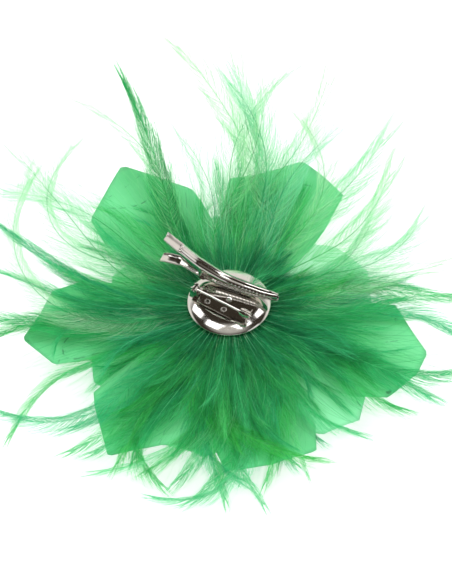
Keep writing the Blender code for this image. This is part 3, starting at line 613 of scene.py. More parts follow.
def barb_paths(path, axes, side, share, vane, down, lean_by, brush, looseness):
    """Barbs that leave one side of the quill at these shares of it, and bend towards its tip. Gives
    their points, how fluffy each is, and the steps along them. looseness 0 keeps them all in line."""
    luck, number = feather_luck, len(share)
    start, along, out, rise = (at(table, share)[:, None] for table in (path, *axes))
    fluff = np.clip(1 - share / max(down, 0.01), 0, 1)  # 1 where the barbs are down
    phase = luck.uniform(0, 2 * math.pi, 3)
    # The barbs part in locks.
    locks = 0.12 * np.sin(19 * share + phase[0]) + 0.08 * np.sin(43 * share + phase[1])
    taper = np.interp(share, [0, 0.15, 0.5, 0.8, 1.0], [0.45, 0.95, 1.0, 0.5 + 0.5 * brush, brush])
    reach = vane * taper * (1 + 0.10 * np.sin(31 * share + phase[2]))
    reach = reach * (1 + looseness * luck.normal(0, 0.16, number))
    lean = np.interp(share, [0, 0.25, 0.6, 1], [44, 30, 22, 8])
    lean = np.radians(lean + lean_by * np.interp(share, [0, 0.25, 0.6, 1], [4, 8, 10, 6]))
    lean = lean * (1 + locks) + looseness * luck.normal(0, 0.05 + 0.25 * fluff, number)
    u = np.linspace(0, 1, BARB_STEPS)[None, :]
    bent = lean[:, None] * (1.3 - 0.9 * u)
    sideways = reach[:, None] * u * np.sin(bent)
    onwards = reach[:, None] * u * np.cos(bent)
    off = luck.normal(0.0, 0.07, number) + luck.normal(0, 0.25, number) * fluff
    lift = reach[:, None] * u**2 * (looseness * off + 0.05 * np.sin(23 * share + phase[0]))[:, None]
    curl = (0.02 + 0.17 * fluff)[:, None] * looseness * reach[:, None] * u
    waves = u * luck.uniform(0.6, 1.4, number)[:, None] + luck.uniform(0, 1, number)[:, None]
    waves = np.sin(2 * math.pi * waves)
    spread = start + out * (side * sideways + curl * waves)[..., None] + along * onwards[..., None]
    return spread + rise * (lift + curl * np.roll(waves, 1, axis=0) * 0.7)[..., None], fluff, u


def add_hackle(
    strands, path, vane, density, tint, roll,
    bare=0.06, down=0.3, barb=0.13 * MM, cover=0.5, hue=0.0, lean=0.0, tip=0.85, brush=0.36, fading=0.2,
):
    """One feather on its quill's path. vane is the longest barb, density barbs per metre on a side,
    bare and down the shares of the quill without barbs and with down, barb a barb's width, cover how
    dense the web is, lean how far the barbs stand out, tip how pale the quill is at its end, brush the
    last barbs' length as a share of the longest, and fading how much paler the feather gets outwards."""
    luck = feather_luck
    length = np.linalg.norm(np.diff(path, axis=0), axis=1).sum()
    axes = vane_axes(path, roll)
    number = int(length * density)
    webs = int(length / WEB_PITCH)
    for side in (-1.0, 1.0):
        share = bare + (1 - bare) * (np.arange(number) + luck.uniform(0, 1, number)) / number
        spread, fluff, u = barb_paths(path, axes, side, share, vane, down, lean, brush, 1.0)
        rise = at(axes[2], share)[:, None]
        heading = unit(np.gradient(spread, axis=1))
        across = unit(np.cross(rise + 0 * heading, heading))
        twist = luck.normal(0, 0.5, number)[:, None, None]
        across = unit(across * np.cos(twist) + rise * np.sin(twist))
        width = barb * (1 - 0.75 * u) * (1 - 0.25 * fluff)[:, None]
        pale = tint + fading * share[:, None] + luck.normal(0, 0.16, number)[:, None] + 0.08 * u
        strands.ribbons(spread, across, width, pale, hue)
        # The web between the barbs is finer than single barbs can show.
        share = np.linspace(bare, 1.0, webs)
        sheet, fluff, u = barb_paths(path, axes, side, share, vane * 0.92, down, lean, brush, 0.0)
        dense = cover * np.clip(0.55 + luck.normal(0, 0.16, webs), 0.05, 1.3) * (1 - 0.6 * fluff)
        fade = np.interp(u[0], [0, 0.35, 0.8, 1], [1.0, 0.75, 0.3, 0.0])
        ends = np.interp(share, [0, 0.15, 0.6, 0.9, 1], [0.3, 1, 0.8, 0.35, 0.05])
        pale = tint + fading * share[:, None] + luck.normal(0, 0.10, webs)[:, None] + 0 * u
        strands.web(sheet, (dense * ends)[:, None] * fade[None], pale, hue)
    # A quill of three crossed ribbons is as thick from every side. It is palest at the root.
    along = np.linspace(0, 1, len(path))
    thick = np.interp(along, [0, 0.5, 1], [0.50, 0.30, 0.08]) * MM
    pale = np.interp(along, [0, 0.35, 1], [1.75, 0.45 + 0.7 * tip, tip])
    for turn in (0.0, math.pi / 3, 2 * math.pi / 3):
        across = axes[1] * math.cos(turn) + axes[2] * math.sin(turn)
        strands.ribbons(path[None], across[None], thick[None], pale[None], hue)


def feather_material(name, webbed):
    """Green dye that takes more or less, from teal to yellow green, on barbs that light shines through. Its
    darkest greens also stand for painted shade near the plate.
    """
    material, tree, shader = shader_nodes(name)
    pale, hue, cover = (tree.nodes.new("ShaderNodeAttribute") for _ in range(3))
    pale.attribute_name, hue.attribute_name, cover.attribute_name = "pale", "hue", "cover"
    mottle = noise_node(tree, 260.0, 2.0)
    shade = math_node(tree, "MULTIPLY_ADD", mottle, 0.35, pale.outputs["Fac"])
    colour = ramp_node(
        tree,
        math_node(tree, "MULTIPLY", shade, 0.6),
        [
            (0.0, (0.008, 0.21, 0.075)),
            (0.22, (0.024, 0.42, 0.140)),
            (0.45, (0.065, 0.61, 0.23)),
            (0.72, (0.20, 0.75, 0.38)),
            (1.0, (0.60, 0.91, 0.64)),
        ],
    )
    shift = tree.nodes.new("ShaderNodeHueSaturation")
    tree.links.new(colour, shift.inputs["Color"])
    tree.links.new(math_node(tree, "MULTIPLY_ADD", hue.outputs["Fac"], -0.022, 0.5), shift.inputs["Hue"])
    colour = shift.outputs["Color"]
    tree.links.new(colour, shader.inputs["Base Color"])
    shader.inputs["Roughness"].default_value = 0.5
    shader.inputs["Specular IOR Level"].default_value = 0.35
    shader.inputs["Sheen Weight"].default_value = 0.15
    surface = lit_through(tree, shader, colour, 0.55)
    if webbed:
        clear = tree.nodes.new("ShaderNodeBsdfTransparent")
        gaps = tree.nodes.new("ShaderNodeMixShader")
        tree.links.new(cover.outputs["Fac"], gaps.inputs["Fac"])
        tree.links.new(clear.outputs[0], gaps.inputs[1])
        tree.links.new(surface, gaps.inputs[2])
        surface = gaps.outputs[0]
    tree.links.new(surface, tree.nodes["Material Output"].inputs["Surface"])
    return material


hackle_green = feather_material("dyed_hackle", False)
hackle_web = feather_material("dyed_hackle_web", True)
# Long feathers: (bearing in degrees, reach and height of the tip in millimetres, bend, sway, listed
# width and density of the vane, tint, hook). The tall ones on the far side are wisps.
LONG_FEATHERS = (
    (137.5, 116, 54, 0.02, 0.010, 12, 2.2, 0.0, 0.15),
    (148.5, 116, 56, -0.04, 0.03, 11, 1.2, 0.45, 0.0),
    (158.5, 105, 51, 0.10, -0.04, 8, 1.8, 0.95, -0.7),
    (168.5, 120, 51, 0.04, 0.02, 11, 1.3, 0.45, -0.5),
    (176.5, 118, 43, -0.05, 0.02, 12, 1.4, 0.35, 0.0),
    (170.5, 112, 43, 0.14, 0.00, 8, 2.4, 0.95, -1.1),
    (185.5, 106, 41, 0.06, 0.01, 9, 1.6, 0.15, 0.0),
    (124.5, 128, 61, -0.07, -0.02, 17, 1.6, 0.45, 1.1),
    (127.5, 88, 46, -0.03, 0.02, 12, 1.2, 0.60, 0.0),
    (111.5, 115, 61, -0.06, -0.03, 14, 1.4, 0.60, 0.5),
    (112.0, 103, 61, -0.05, 0.02, 14, 2.2, 0.25, 0.5),
    (99.5, 113, 61, 0.05, -0.02, 9, 1.3, 0.30, -0.5),
    (103.5, 103, 61, 0.06, 0.03, 12, 1.0, 0.50, 0.0),
    (91.5, 94, 56, -0.04, 0.02, 10, 1.3, 0.70, 1.4),
    (89.5, 114, 61, 0.06, 0.03, 11, 1.2, 0.40, 0.0),
    (81.0, 98, 56, 0.05, -0.02, 13, 1.0, 0.50, 0.0),
    (70.5, 107, 51, 0.03, 0.02, 15, 1.4, 0.35, 0.0),
    (62.0, 98, 48, -0.03, 0.02, 14, 1.2, 0.45, 0.0),
    (42.5, 94, 46, 0.05, 0.02, 13, 1.3, 0.40, 1.2),
    (29.5, 100, 43, 0.06, -0.03, 10, 1.4, 0.65, 1.5),
    (51.5, 78, 41, -0.04, 0.02, 14, 1.3, 0.35, 0.0),
    (22.5, 115, 36, 0.05, 0.02, 12, 1.5, 0.30, 0.0),
    (12.0, 104, 30, 0.05, -0.02, 13, 1.5, 0.35, 0.0),
    (4.5, 115, 31, -0.04, 0.02, 12, 1.6, 0.25, 0.0),
    (-6.0, 100, 26, 0.05, 0.02, 13, 1.5, 0.30, 0.0),
    (-13.5, 93, 26, 0.05, 0.02, 12, 1.5, 0.30, 0.6),
    (-28.0, 88, 26, -0.04, 0.02, 12, 1.4, 0.35, 0.0),
    (-42.5, 90, 26, -0.10, -0.03, 12, 1.7, 0.30, 1.6),
    (-58.5, 102, 21, -0.08, 0.02, 8, 1.3, 0.35, -0.8),
    (-45.5, 95, 21, 0.03, 0.01, 5, 0.8, 0.60, 0.0),
    (-67.5, 99, 21, -0.07, 0.02, 9, 1.5, 0.40, -0.9),
    (208.5, 120, 31, 0.04, 0.02, 11, 1.6, 0.20, 0.0),
    (218.5, 120, 31, -0.04, 0.02, 11, 1.7, 0.15, 0.0),
    (196.0, 112, 36, 0.05, 0.02, 11, 1.5, 0.30, 0.0),
    (232.5, 115, 26, 0.06, -0.02, 12, 1.6, 0.30, -0.6),
    (239.5, 115, 23, -0.05, 0.02, 10, 1.6, 0.35, 0.0),
    (256.5, 96, 23, 0.05, 0.02, 11, 1.7, 0.35, -0.8),
    (263.5, 95, 23, -0.05, 0.02, 11, 1.7, 0.30, -0.9),
    (260.5, 101, 21, 0.09, 0.02, 12, 1.4, 0.75, -1.2),
    (271.5, 91, 21, 0.06, 0.02, 11, 1.7, 0.40, -1.0),
    (275.5, 96, 21, -0.07, 0.02, 11, 1.7, 0.30, 0.7),
    (285.5, 99, 21, 0.07, 0.02, 11, 1.7, 0.25, -1.1),
    (275.5, 103, 21, 0.09, -0.02, 9, 1.5, 0.60, -1.3),
    (290.5, 92, 21, 0.08, 0.02, 6, 0.8, 0.65, -1.2),
    (247.0, 92, 23, 0.06, 0.02, 10, 1.6, 0.30, -0.6),
    (251.5, 101, 22, 0.04, 0.02, 9, 1.5, 0.45, -0.7),
    (266.5, 88, 22, -0.05, 0.02, 11, 1.6, 0.25, -0.7),
    (280.5, 92, 22, 0.05, 0.02, 11, 1.6, 0.20, -0.8),
    (296.0, 90, 22, -0.05, 0.02, 11, 1.6, 0.25, 0.8),
    (303.5, 92, 22, 0.06, 0.02, 10, 1.6, 0.30, -0.8),
    (312.0, 86, 22, 0.05, 0.02, 10, 1.5, 0.25, 0.9),
)
HACKLE_WIDTH = 1.7  # a hackle's longest barb is its listed width times this
WISP_SPREAD = 11  # and a wisp's is so many millimetres longer than its listed width
HACKLE_BARBS, WISP_BARBS = 1500, 1400  # barbs per metre on a side, at a density of 1
BARE_QUILL, BARE_OVER_PETAL = 0.06, 0.4  # shares of a quill that have no barbs
UPPER_TIER_FROM = 32  # tips higher than this belong to the upper tier, in millimetres
WISPS_FROM = 38  # and tips higher than this to the far feathers
CURLY_FROM, CURLY_TO = 230, -36  # bearings between which, along the near side, the feathers curl
BARE_FROM, BARE_TO = 38, 78  # bearings between which an inner petal shows
SHORT_FEATHERS = 96  # shorter hackles that lie on the petals between the long ones
SHORT_WIDTH, SHORT_BARBS = 1.5, 1700  # as for the long ones
SHORTENED = 0.45  # a short feather's reach where an inner petal shows, as a share of its own
GOLDEN_TURN = 0.618034  # of a full turn, spreads the short ones evenly
nodes_by_tier = {"upper": 9, "middle": 9, "lower": 8}


def node_bearing(node):
    """The bearing of the middle of a feather's place, in degrees."""
    low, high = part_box(node)
    middle = (low + high) / 2
    return math.degrees(math.atan2(middle.y, middle.x))


def nearest(nodes, bearing):
    """The feather's place that a feather at this bearing belongs to."""
    return min(nodes, key=lambda node: abs((node_bearing_of[node] - bearing + 180) % 360 - 180))


tier_nodes = {tier: [f"feather_{tier}_{i}" for i in range(1, n + 1)] for tier, n in nodes_by_tier.items()}
node_bearing_of = {node: node_bearing(node) for group in tier_nodes.values() for node in group}
root_height = {"upper": 26.3 * MM, "middle": 24.9 * MM, "lower": 18.3 * MM}
bunches = {node: Strands() for node in node_bearing_of}
for bearing, reach, tip, bend, sway, vane, density, tint, hook in LONG_FEATHERS:
    tier = "upper" if tip > UPPER_TIER_FROM else "middle"
    node = nearest(tier_nodes[tier], bearing)
    roll, hue = feather_luck.normal(0, 0.25), feather_luck.normal(0.3, 0.6)
    wisp = tip > WISPS_FROM and tint > 0.2  # the tall feathers on the far side are pale and sparse
    bald = BARE_OVER_PETAL if BARE_FROM < bearing < BARE_TO else BARE_QUILL
    curly = bearing > CURLY_FROM or bearing < CURLY_TO
    short = 11 if wisp else 5  # the last barbs go on past the quill's end
    reach, tip = (reach - short) * MM, tip * MM
    path = quill_path(bearing, reach, root_height[tier], tip, bend * 2, sway * 2, hook * 0.7)
    if wisp:
        add_hackle(
            bunches[node], path, (WISP_SPREAD + vane) * MM, density * WISP_BARBS, tint + 0.22, roll * 0.4,
            bare=bald, barb=0.10 * MM, cover=0.22, hue=hue, lean=1.0, tip=-0.1, brush=0.8, fading=0.7,
        )
    else:
        add_hackle(
            bunches[node], path, vane * HACKLE_WIDTH * MM, density * HACKLE_BARBS, tint, roll,
            bare=bald, barb=0.14 * MM, cover=0.42, hue=hue, fading=0.35, brush=0.5,
            lean=0.8 if curly else 0.0,
        )
for number in range(SHORT_FEATHERS):
    tier = ("upper", "middle", "lower")[number % 3]
    bearing = 360 * (number * GOLDEN_TURN % 1.0)
    reach = feather_luck.uniform(48, 82) * MM
    rise = feather_luck.uniform(0, 8) * MM if tier != "lower" else -2 * MM
    if BARE_FROM < bearing < BARE_TO:
        reach *= SHORTENED
    node = nearest(tier_nodes[tier], bearing)
    bend, sway = feather_luck.normal(0, 0.05), feather_luck.normal(0, 0.02)
    hook = feather_luck.normal(0, 0.5)
    path = quill_path(bearing, reach, root_height[tier], root_height[tier] + rise, bend, sway, hook)
    # Tints vary at random from feather to feather, and reach down into dark greens as painted shade near the
    # plate.
    tint = feather_luck.uniform(-0.18, 0.30)
    vane = feather_luck.uniform(9, 14) * MM
    roll, hue = feather_luck.normal(0, 0.2), feather_luck.normal(0.2, 0.6)
    add_hackle(
        bunches[node], path, vane * SHORT_WIDTH, SHORT_BARBS, tint, roll,
        down=0.35, cover=0.5, hue=hue, fading=0.4,
    )

# Loose strands: thin single barbs in bunches, that stand out between the feathers.
# Each bunch is (bearing, reach, height of the tips, hook).
BUNCHES = (
    (152, 112, 54, 0.3), (163, 118, 48, -0.3), (172, 120, 38, 0.4), (182, 118, 34, -0.3), (192, 116, 32, 0.3),
    (204, 118, 28, -0.4), (130, 100, 60, 0.3), (118, 96, 58, -0.4), (106, 98, 60, 0.4), (94, 96, 56, 0.5),
    (84, 98, 54, -0.3), (76, 100, 50, 0.3), (66, 104, 50, 0.2), (56, 96, 44, -0.3), (46, 98, 42, 0.4),
    (34, 104, 38, -0.3), (25, 112, 34, 0.3), (14, 112, 30, 0.4), (2, 112, 28, -0.3), (-10, 100, 26, 0.5),
    (-24, 92, 24, 0.5), (-38, 90, 24, 0.6), (-55, 92, 21, -0.7), (-70, 96, 21, -0.8), (-80, 98, 21, -0.6),
    (268, 97, 21, -0.8), (256, 96, 22, -0.7), (246, 108, 22, -0.5), (236, 112, 24, 0.4), (222, 118, 28, 0.4),
)
STRANDS_EACH = 24
STRAND_WIDTH = 0.13 * MM
for bearing, reach, tip, hook in BUNCHES:
    node = nearest(tier_nodes["upper"], bearing)
    paths = []
    for _ in range(STRANDS_EACH):
        aside, short = feather_luck.normal(0, 6.0), feather_luck.uniform(0.66, 1.0)
        bend, sway = feather_luck.normal(0, 0.05), feather_luck.normal(0, 0.02)
        turned = hook + feather_luck.normal(0, 0.25)
        height = (tip + feather_luck.normal(0, 4)) * MM
        place = (bearing + aside, reach * short * MM, root_height["upper"], height)
        paths.append(quill_path(*place, bend, sway, turned))
    paths = np.stack(paths)[:, 8::3]  # a third of the points, without those hidden in the stack
    level = np.cross(np.array([0.0, 0.0, 1.0]), unit(np.gradient(paths, axis=1)))
    across = unit(level + 0.5 * feather_luck.normal(0, 1, (len(paths), 1, 3)))
    taper = np.linspace(1.0, 0.35, paths.shape[1])[None]
    pale = feather_luck.uniform(0.1, 0.8, (len(paths), 1)) + (0.5 if tip > 40 else 0.0)
    bunches[node].ribbons(paths, across, STRAND_WIDTH * taper, pale, feather_luck.normal(0.3, 0.6))

# Down at the roots: curly barbs that come out from under the plate all round and hide the felt.
DOWN_TUFTS = 64
DOWN_FROM = 13.0 * MM  # from the flower's axis
DOWN_HEIGHT = 26.6 * MM
DOWN_BARB, DOWN_BARBS = 8 * MM, 3000  # the longest barb, and barbs per metre on a side
for number in range(DOWN_TUFTS):
    bearing = 360 * number / DOWN_TUFTS + feather_luck.normal(0, 2)
    node = nearest(tier_nodes[("upper", "middle")[number % 2]], bearing)
    length = feather_luck.uniform(14, 26) * MM
    turn = math.radians(bearing)
    share = np.linspace(0, 1, 12)[:, None]
    heading = np.array([math.cos(turn), math.sin(turn), feather_luck.uniform(-0.05, 0.22)])
    start = np.array([math.cos(turn) * DOWN_FROM, math.sin(turn) * DOWN_FROM, DOWN_HEIGHT])
    path = start + heading * share * length
    # The down's tints run dark: painted shade round the plate's edge.
    tint, roll = feather_luck.uniform(-0.45, 0.15), feather_luck.normal(0, 0.5)
    add_hackle(
        bunches[node], path, DOWN_BARB, DOWN_BARBS, tint, roll,
        bare=0.0, down=2.0, barb=0.12 * MM, cover=0.3, hue=-0.3,
    )
for node, strands in bunches.items():
    if not strands.points:
        raise SystemExit(f"no feather for {node}")
    hackles = add_piece(node.replace("feather_", "hackles_"), strands.mesh(node), hackle_green)
    hackles.data.materials.append(hackle_web)
    hackles.data.polygons.foreach_set("material_index", strands.webbed_faces())
    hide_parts(node)

# ---------------------------------------------------------------- felt and glue
# A pressed felt disc under the plate takes the stitches and the feathers' roots, and clear glue sets
# between it and the plate, and in the middle of the stack.
felt_low, felt_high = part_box("backing_felt")
FELT_RADIUS = felt_high.x
FELT_SLACK = 0.35 * MM  # the pressed felt is thinner than its place by this
FELT_SPOKES, FELT_RINGS = 96, 14


def felt_disc():
    """A disc whose cut edge is a little uneven, and whose face is pressed in round the middle."""
    bm = bmesh.new()
    rings = []
    for ring in range(FELT_RINGS + 1):
        share = ring / FELT_RINGS
        points = []
        for spoke in range(FELT_SPOKES):
            turn = 2 * math.pi * spoke / FELT_SPOKES
            uneven = 1 - 0.010 * share * math.sin(7 * turn) - 0.006 * share * math.sin(23 * turn)
            radius = FELT_RADIUS * share * uneven
            height = felt_high.z - (0.12 + 0.10 * math.sin(9 * turn) * share + 0.25 * share**8) * MM
            points.append(bm.verts.new((radius * math.cos(turn), radius * math.sin(turn), height)))
        rings.append(points)
    for inner, outer in zip(rings, rings[1:]):
        for k in range(FELT_SPOKES):
            n = (k + 1) % FELT_SPOKES
            bm.faces.new((inner[k], outer[k], outer[n], inner[n]))
    bmesh.ops.remove_doubles(bm, verts=bm.verts, dist=0.01 * MM)
    mesh = bpy.data.meshes.new("felt_disc")
    bm.to_mesh(mesh)
    bm.free()
    mesh.shade_smooth()
    return mesh


def pressed_felt():
    """Matted green fibres."""
    material, tree, shader = shader_nodes("pressed_felt")
    coords = tree.nodes.new("ShaderNodeTexCoord").outputs["Object"]
    fibres = noise_node(tree, 2600.0, 5.0, coords, 1.5)
    colour = ramp_node(tree, fibres, [(0.3, (0.008, 0.13, 0.04)), (0.7, (0.03, 0.30, 0.09))])
    tree.links.new(colour, shader.inputs["Base Color"])
    tree.links.new(bump_node(tree, fibres, 0.6, 0.2 * MM), shader.inputs["Normal"])
    shader.inputs["Roughness"].default_value = 0.95
    shader.inputs["Sheen Weight"].default_value = 0.6
    return material


felt = add_piece("felt_backing", felt_disc(), pressed_felt())
thicken(felt, "felt", felt_high.z - felt_low.z - FELT_SLACK)
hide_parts("backing_felt")


def set_glue():
    """Cloudy, half clear glue with an uneven skin."""
    material, tree, shader = shader_nodes("set_glue")
    clouds = noise_node(tree, 400.0, 3.0)
    colour = ramp_node(tree, clouds, [(0.3, (0.50, 0.62, 0.48)), (0.7, (0.74, 0.82, 0.70))])
    tree.links.new(colour, shader.inputs["Base Color"])
    tree.links.new(bump_node(tree, clouds, 0.4, 0.3 * MM), shader.inputs["Normal"])
    shader.inputs["Roughness"].default_value = 0.3
    shader.inputs["Subsurface Weight"].default_value = 0.2
    shader.inputs["Subsurface Scale"].default_value = 1.0 * MM
    return material


glue = set_glue()
for node in ("plate_glue", "glue_core"):
    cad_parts[node].material_slots[0].material = glue

# ---------------------------------------------------------------- back plate
# A domed steel disc with a rolled rim, pressed, polished and plated bright, that carries the clip and
# the brooch bar. It is glued over the felt.
plate_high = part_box("back_plate")[1]
PLATE_RADIUS = plate_high.x
PLATE_TOP = plate_high.z
PLATE_FLAT = 10.2 * MM  # the dome starts to fall away here
PLATE_SHOULDER = 16.6 * MM  # and ends here
CROWN = 0.04 * MM  # how much higher the middle of the flat is
SHOULDER_DROP = 1.3 * MM
PLATE_WALL = 0.3 * MM
BEAD = 0.5 * MM  # radius of the rolled rim
BEAD_DROP = 0.85 * MM  # its middle below the shoulder's edge
PLATE_SPOKES = 128


def plated(name, colour, roughness, ripple, ripple_size):
    """Bright plating: almost even, with a faint cloud in its shine and the ripples of pressed sheet."""
    material, tree, shader = shader_nodes(name)
    shader.inputs["Metallic"].default_value = 1.0
    coords = tree.nodes.new("ShaderNodeTexCoord").outputs["Object"]
    cloud = noise_node(tree, 300.0, 4.0, coords)
    tint = ramp_node(tree, cloud, [(0.3, tuple(c * 0.94 for c in colour)), (0.7, colour)])
    rough = math_node(tree, "MULTIPLY_ADD", cloud, roughness * 0.6, roughness * 0.7)
    ripples = noise_node(tree, ripple_size, 2.0, coords)
    tree.links.new(tint, shader.inputs["Base Color"])
    tree.links.new(rough, shader.inputs["Roughness"])
    tree.links.new(bump_node(tree, ripples, ripple, 0.3 * MM), shader.inputs["Normal"])
    return material


def turned_shell(name, profile, spokes):
    """A profile of (radius, height) turned round the flower's axis."""
    points, faces = [], []
    for radius, height in profile:
        for spoke in range(spokes):
            turn = 2 * math.pi * spoke / spokes
            points.append((radius * math.cos(turn), radius * math.sin(turn), height))
    for ring in range(len(profile) - 1):
        inner, outer = ring * spokes, (ring + 1) * spokes
        for k in range(spokes):
            n = (k + 1) % spokes
            faces.append((inner + k, outer + k, outer + n, inner + n))
    return welded_mesh(name, points, faces)


def plate_profile():
    """Nearly flat in the middle, a shoulder that falls ever faster, and a small rolled rim."""
    profile = [(PLATE_RADIUS * 0.001, PLATE_TOP)]
    for i in range(1, 7):
        profile.append((PLATE_FLAT * i / 6, PLATE_TOP - CROWN * (i / 6) ** 2))
    width = PLATE_SHOULDER - PLATE_FLAT
    for i in range(1, 19):
        share = i / 18
        profile.append((PLATE_FLAT + width * share, PLATE_TOP - CROWN - SHOULDER_DROP * share**2))
    # The rim turns down, out and under.
    middle = (PLATE_RADIUS - BEAD, PLATE_TOP - SHOULDER_DROP - BEAD_DROP)
    for i in range(11):
        turn = math.radians(62 - 20 * i)
        profile.append((middle[0] + BEAD * math.cos(turn), middle[1] + BEAD * math.sin(turn)))
    return profile


mirror = plated("bright_plating", (0.88, 0.86, 0.82), 0.10, 0.04, 130.0)
plate = add_piece("plate_dome", turned_shell("plate_dome", plate_profile(), PLATE_SPOKES), mirror)
thicken(plate, "wall", PLATE_WALL)
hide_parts("back_plate")

# ---------------------------------------------------------------- brooch bar, pin and catch
# A stamped bar soldered to the plate, with two pierced holes whose edges stand up as small rims. The
# pin turns on a rivet at one end, and its point lies in a catch with a turning sleeve at the other.
for node in ("brooch_bar", "safety_catch", "brooch_pin", "brooch_rivet"):
    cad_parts[node].material_slots[0].material = mirror
    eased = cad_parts[node].modifiers.new("eased_edges", "BEVEL")
    eased.width = 0.07 * MM
    eased.segments = 2
    eased.limit_method = "ANGLE"
    eased.angle_limit = math.radians(40.0)
BAR_TURN = math.radians(-9.0)
BAR_MIDDLE = Vector((-0.2 * MM, -6.3 * MM, 0.0))
BAR_TOP = PLATE_TOP + 0.8 * MM
HOLES = (-7.4, 0.6)  # along the bar from its middle, in millimetres
RIM_RADIUS, RIM_WIRE = 1.05 * MM, 0.22 * MM
along_bar = Vector((math.cos(BAR_TURN), math.sin(BAR_TURN), 0.0))


def ring_mesh(name, centres, radius, wire, height):
    """Small rings lying flat, one round each centre."""
    points, faces = [], []
    around, section = 40, 10
    for centre in centres:
        base = len(points)
        for i in range(around):
            a = 2 * math.pi * i / around
            for j in range(section):
                b = 2 * math.pi * j / section
                reach = radius + wire * math.cos(b)
                x, y = centre.x + reach * math.cos(a), centre.y + reach * math.sin(a)
                points.append((x, y, height + wire * math.sin(b)))
        for i in range(around):
            for j in range(section):
                p, q = (i + 1) % around, (j + 1) % section
                corners = ((i, j), (p, j), (p, q), (i, q))
                faces.append([base + a * section + b for a, b in corners])
    mesh = bpy.data.meshes.new(name)
    mesh.from_pydata(points, [], faces)
    mesh.shade_smooth()
    return mesh


hole_places = [BAR_MIDDLE + along_bar * x * MM for x in HOLES]
hole_rims = ring_mesh("hole_rims", hole_places, RIM_RADIUS, RIM_WIRE, BAR_TOP)
add_piece("hole_rims", hole_rims, mirror)

# ---------------------------------------------------------------- hair clip
# A steel alligator clip, stamped and plated: two channels that nest at the hinge, the upper one arched
# with a rib along its back, teeth along the edges that meet, and a coil spring on the hinge pin.
CLIP_Y = 6.2 * MM
CLIP_TIP, CLIP_HINGE, UPPER_END, LOWER_END = 19.5, -13.5, -31.2, -33.5  # along the clip, in millimetres
HINGE_HEIGHT = 4.2  # above the plate
EAR_RADIUS = 2.0  # of the round ears that the hinge pin goes through
TOOTH_PITCH, TOOTH_DEPTH = 1.6, 0.495
TOOTHED = (0.12, 0.88)  # the stretch with teeth, as shares of the way from the hinge to the tip
CLIP_STEP = 0.2
CLIP_WALL = 0.35


def along_clip(x, thumb_end):
    """-1 at the thumb end, 0 at the hinge, 1 at the tip."""
    from_hinge = x - CLIP_HINGE
    half_length = np.where(from_hinge < 0, CLIP_HINGE - thumb_end, CLIP_TIP - CLIP_HINGE)
    return from_hinge / half_length


def smooth_profile(share, table, window):
    """Values of a profile at shares along the clip, with its corners rounded off."""
    values = np.interp(share, [a for a, _ in table], [b for _, b in table])
    padded = np.concatenate([np.full(window, values[0]), values, np.full(window, values[-1])])
    padded[:window] = 2 * values[0] - values[1 : window + 1][::-1]
    padded[-window:] = 2 * values[-1] - values[-window - 1 : -1][::-1]
    kernel = np.hanning(2 * window + 1)
    return np.convolve(padded, kernel / kernel.sum(), "same")[window:-window]


def toothed(share):
    """Where the edges have teeth: only on the jaws, and not at the nose."""
    return (share > TOOTHED[0]) & (share < TOOTHED[1])


def teeth(x, share):
    """How far a toothed edge stands out at x."""
    wave = np.abs((x / TOOTH_PITCH) % 1.0 - 0.5) * 2
    return TOOTH_DEPTH * wave * toothed(share)


def channel(name, x, sections, material, body):
    """A shell through cross sections of (y, z) in millimetres, one for each x along the clip."""
    points = np.concatenate([np.repeat(x[:, None, None], sections.shape[1], axis=1), sections], axis=2)
    points = points * MM + np.array([0.0, CLIP_Y, PLATE_TOP])
    mesh = smooth_mesh(name, points, grid_faces(*points.shape[:2]))
    piece = add_piece(name, mesh, material, body)
    thicken(piece, "wall", CLIP_WALL * MM)
    return piece


# Profiles of the levers: (share along the clip, millimetres).
JAW_WIDTH = ((0.0, 2.4), (0.79, 2.04), (0.91, 1.68), (1.0, 1.1))
MOUTH = ((0.0, 4.2), (0.42, 3.3), (0.67, 3.1), (1.0, 3.7))  # where the jaws meet
LIPS_APART = 0.15  # each lip from where they meet, in millimetres
THUMB_DISH = 1.1  # how deep the upper lever is pressed in under the thumb
clip_plating = plated("clip_plating", (0.86, 0.83, 0.79), 0.10, 0.04, 200.0)


def upper_lever():
    """Walls, a rounded shoulder each side, and an arched back with its rib a little off the middle."""
    x = np.arange(UPPER_END, CLIP_TIP + 0.01, CLIP_STEP)
    share = along_clip(x, UPPER_END)
    thumb_half = ((-1, 20.0), (-0.49, 14.2), (-0.21, 10.8), (0, 9.2))
    jaw_half = ((0.11, 7.7), (0.21, 6.5), (0.33, 5.7), (0.55, 5.0), (0.79, 4.9), (1, 5.4))
    top = smooth_profile(share, (*thumb_half, *jaw_half), 12)
    width = smooth_profile(share, ((-1, 2.1), (-0.9, 2.25), (-0.36, 2.4), *JAW_WIDTH), 5)
    wall = np.interp(share, [-1, 0], [1.3, 3.8])
    edge = np.where(share > 0, np.interp(share, *zip(*MOUTH)) + LIPS_APART, top - wall)
    ear = EAR_RADIUS**2 - (x - CLIP_HINGE) ** 2
    edge = np.where(ear > 0, np.minimum(edge, HINGE_HEIGHT - np.sqrt(np.maximum(ear, 0))), edge)
    edge = edge - teeth(x, share)
    arch = np.minimum(np.interp(share, [0.1, 0.4], [0.9, 1.1]), (top - edge) * 0.5)
    ribbed = np.clip(np.interp(share, [-1, -0.64, -0.57, 0.84, 0.92, 1], [0, 0, 1, 1, 0, 0]), 0, 1)
    across = np.linspace(-1, 1, 21)
    sections = [np.stack([-width, edge], axis=1), np.stack([-width, (edge + top - arch) / 2], axis=1)]
    for t in across:
        bend = np.sign(t) * (1 - (1 - abs(t)) ** 1.35)  # closer points near the shoulders
        height = top + 0.35 - arch * abs(bend) ** 2.6
        ridge = 0.30 * np.exp(-(((bend - 0.38) / 0.10) ** 2)) * ribbed
        dish = THUMB_DISH * (1 - ribbed) * (1 - bend**2) * (share < -0.5)
        sections.append(np.stack([width * bend, height + ridge - dish], axis=1))
    sections += [np.stack([width, (edge + top - arch) / 2], axis=1), np.stack([width, edge], axis=1)]
    return x, np.stack(sections, axis=1)


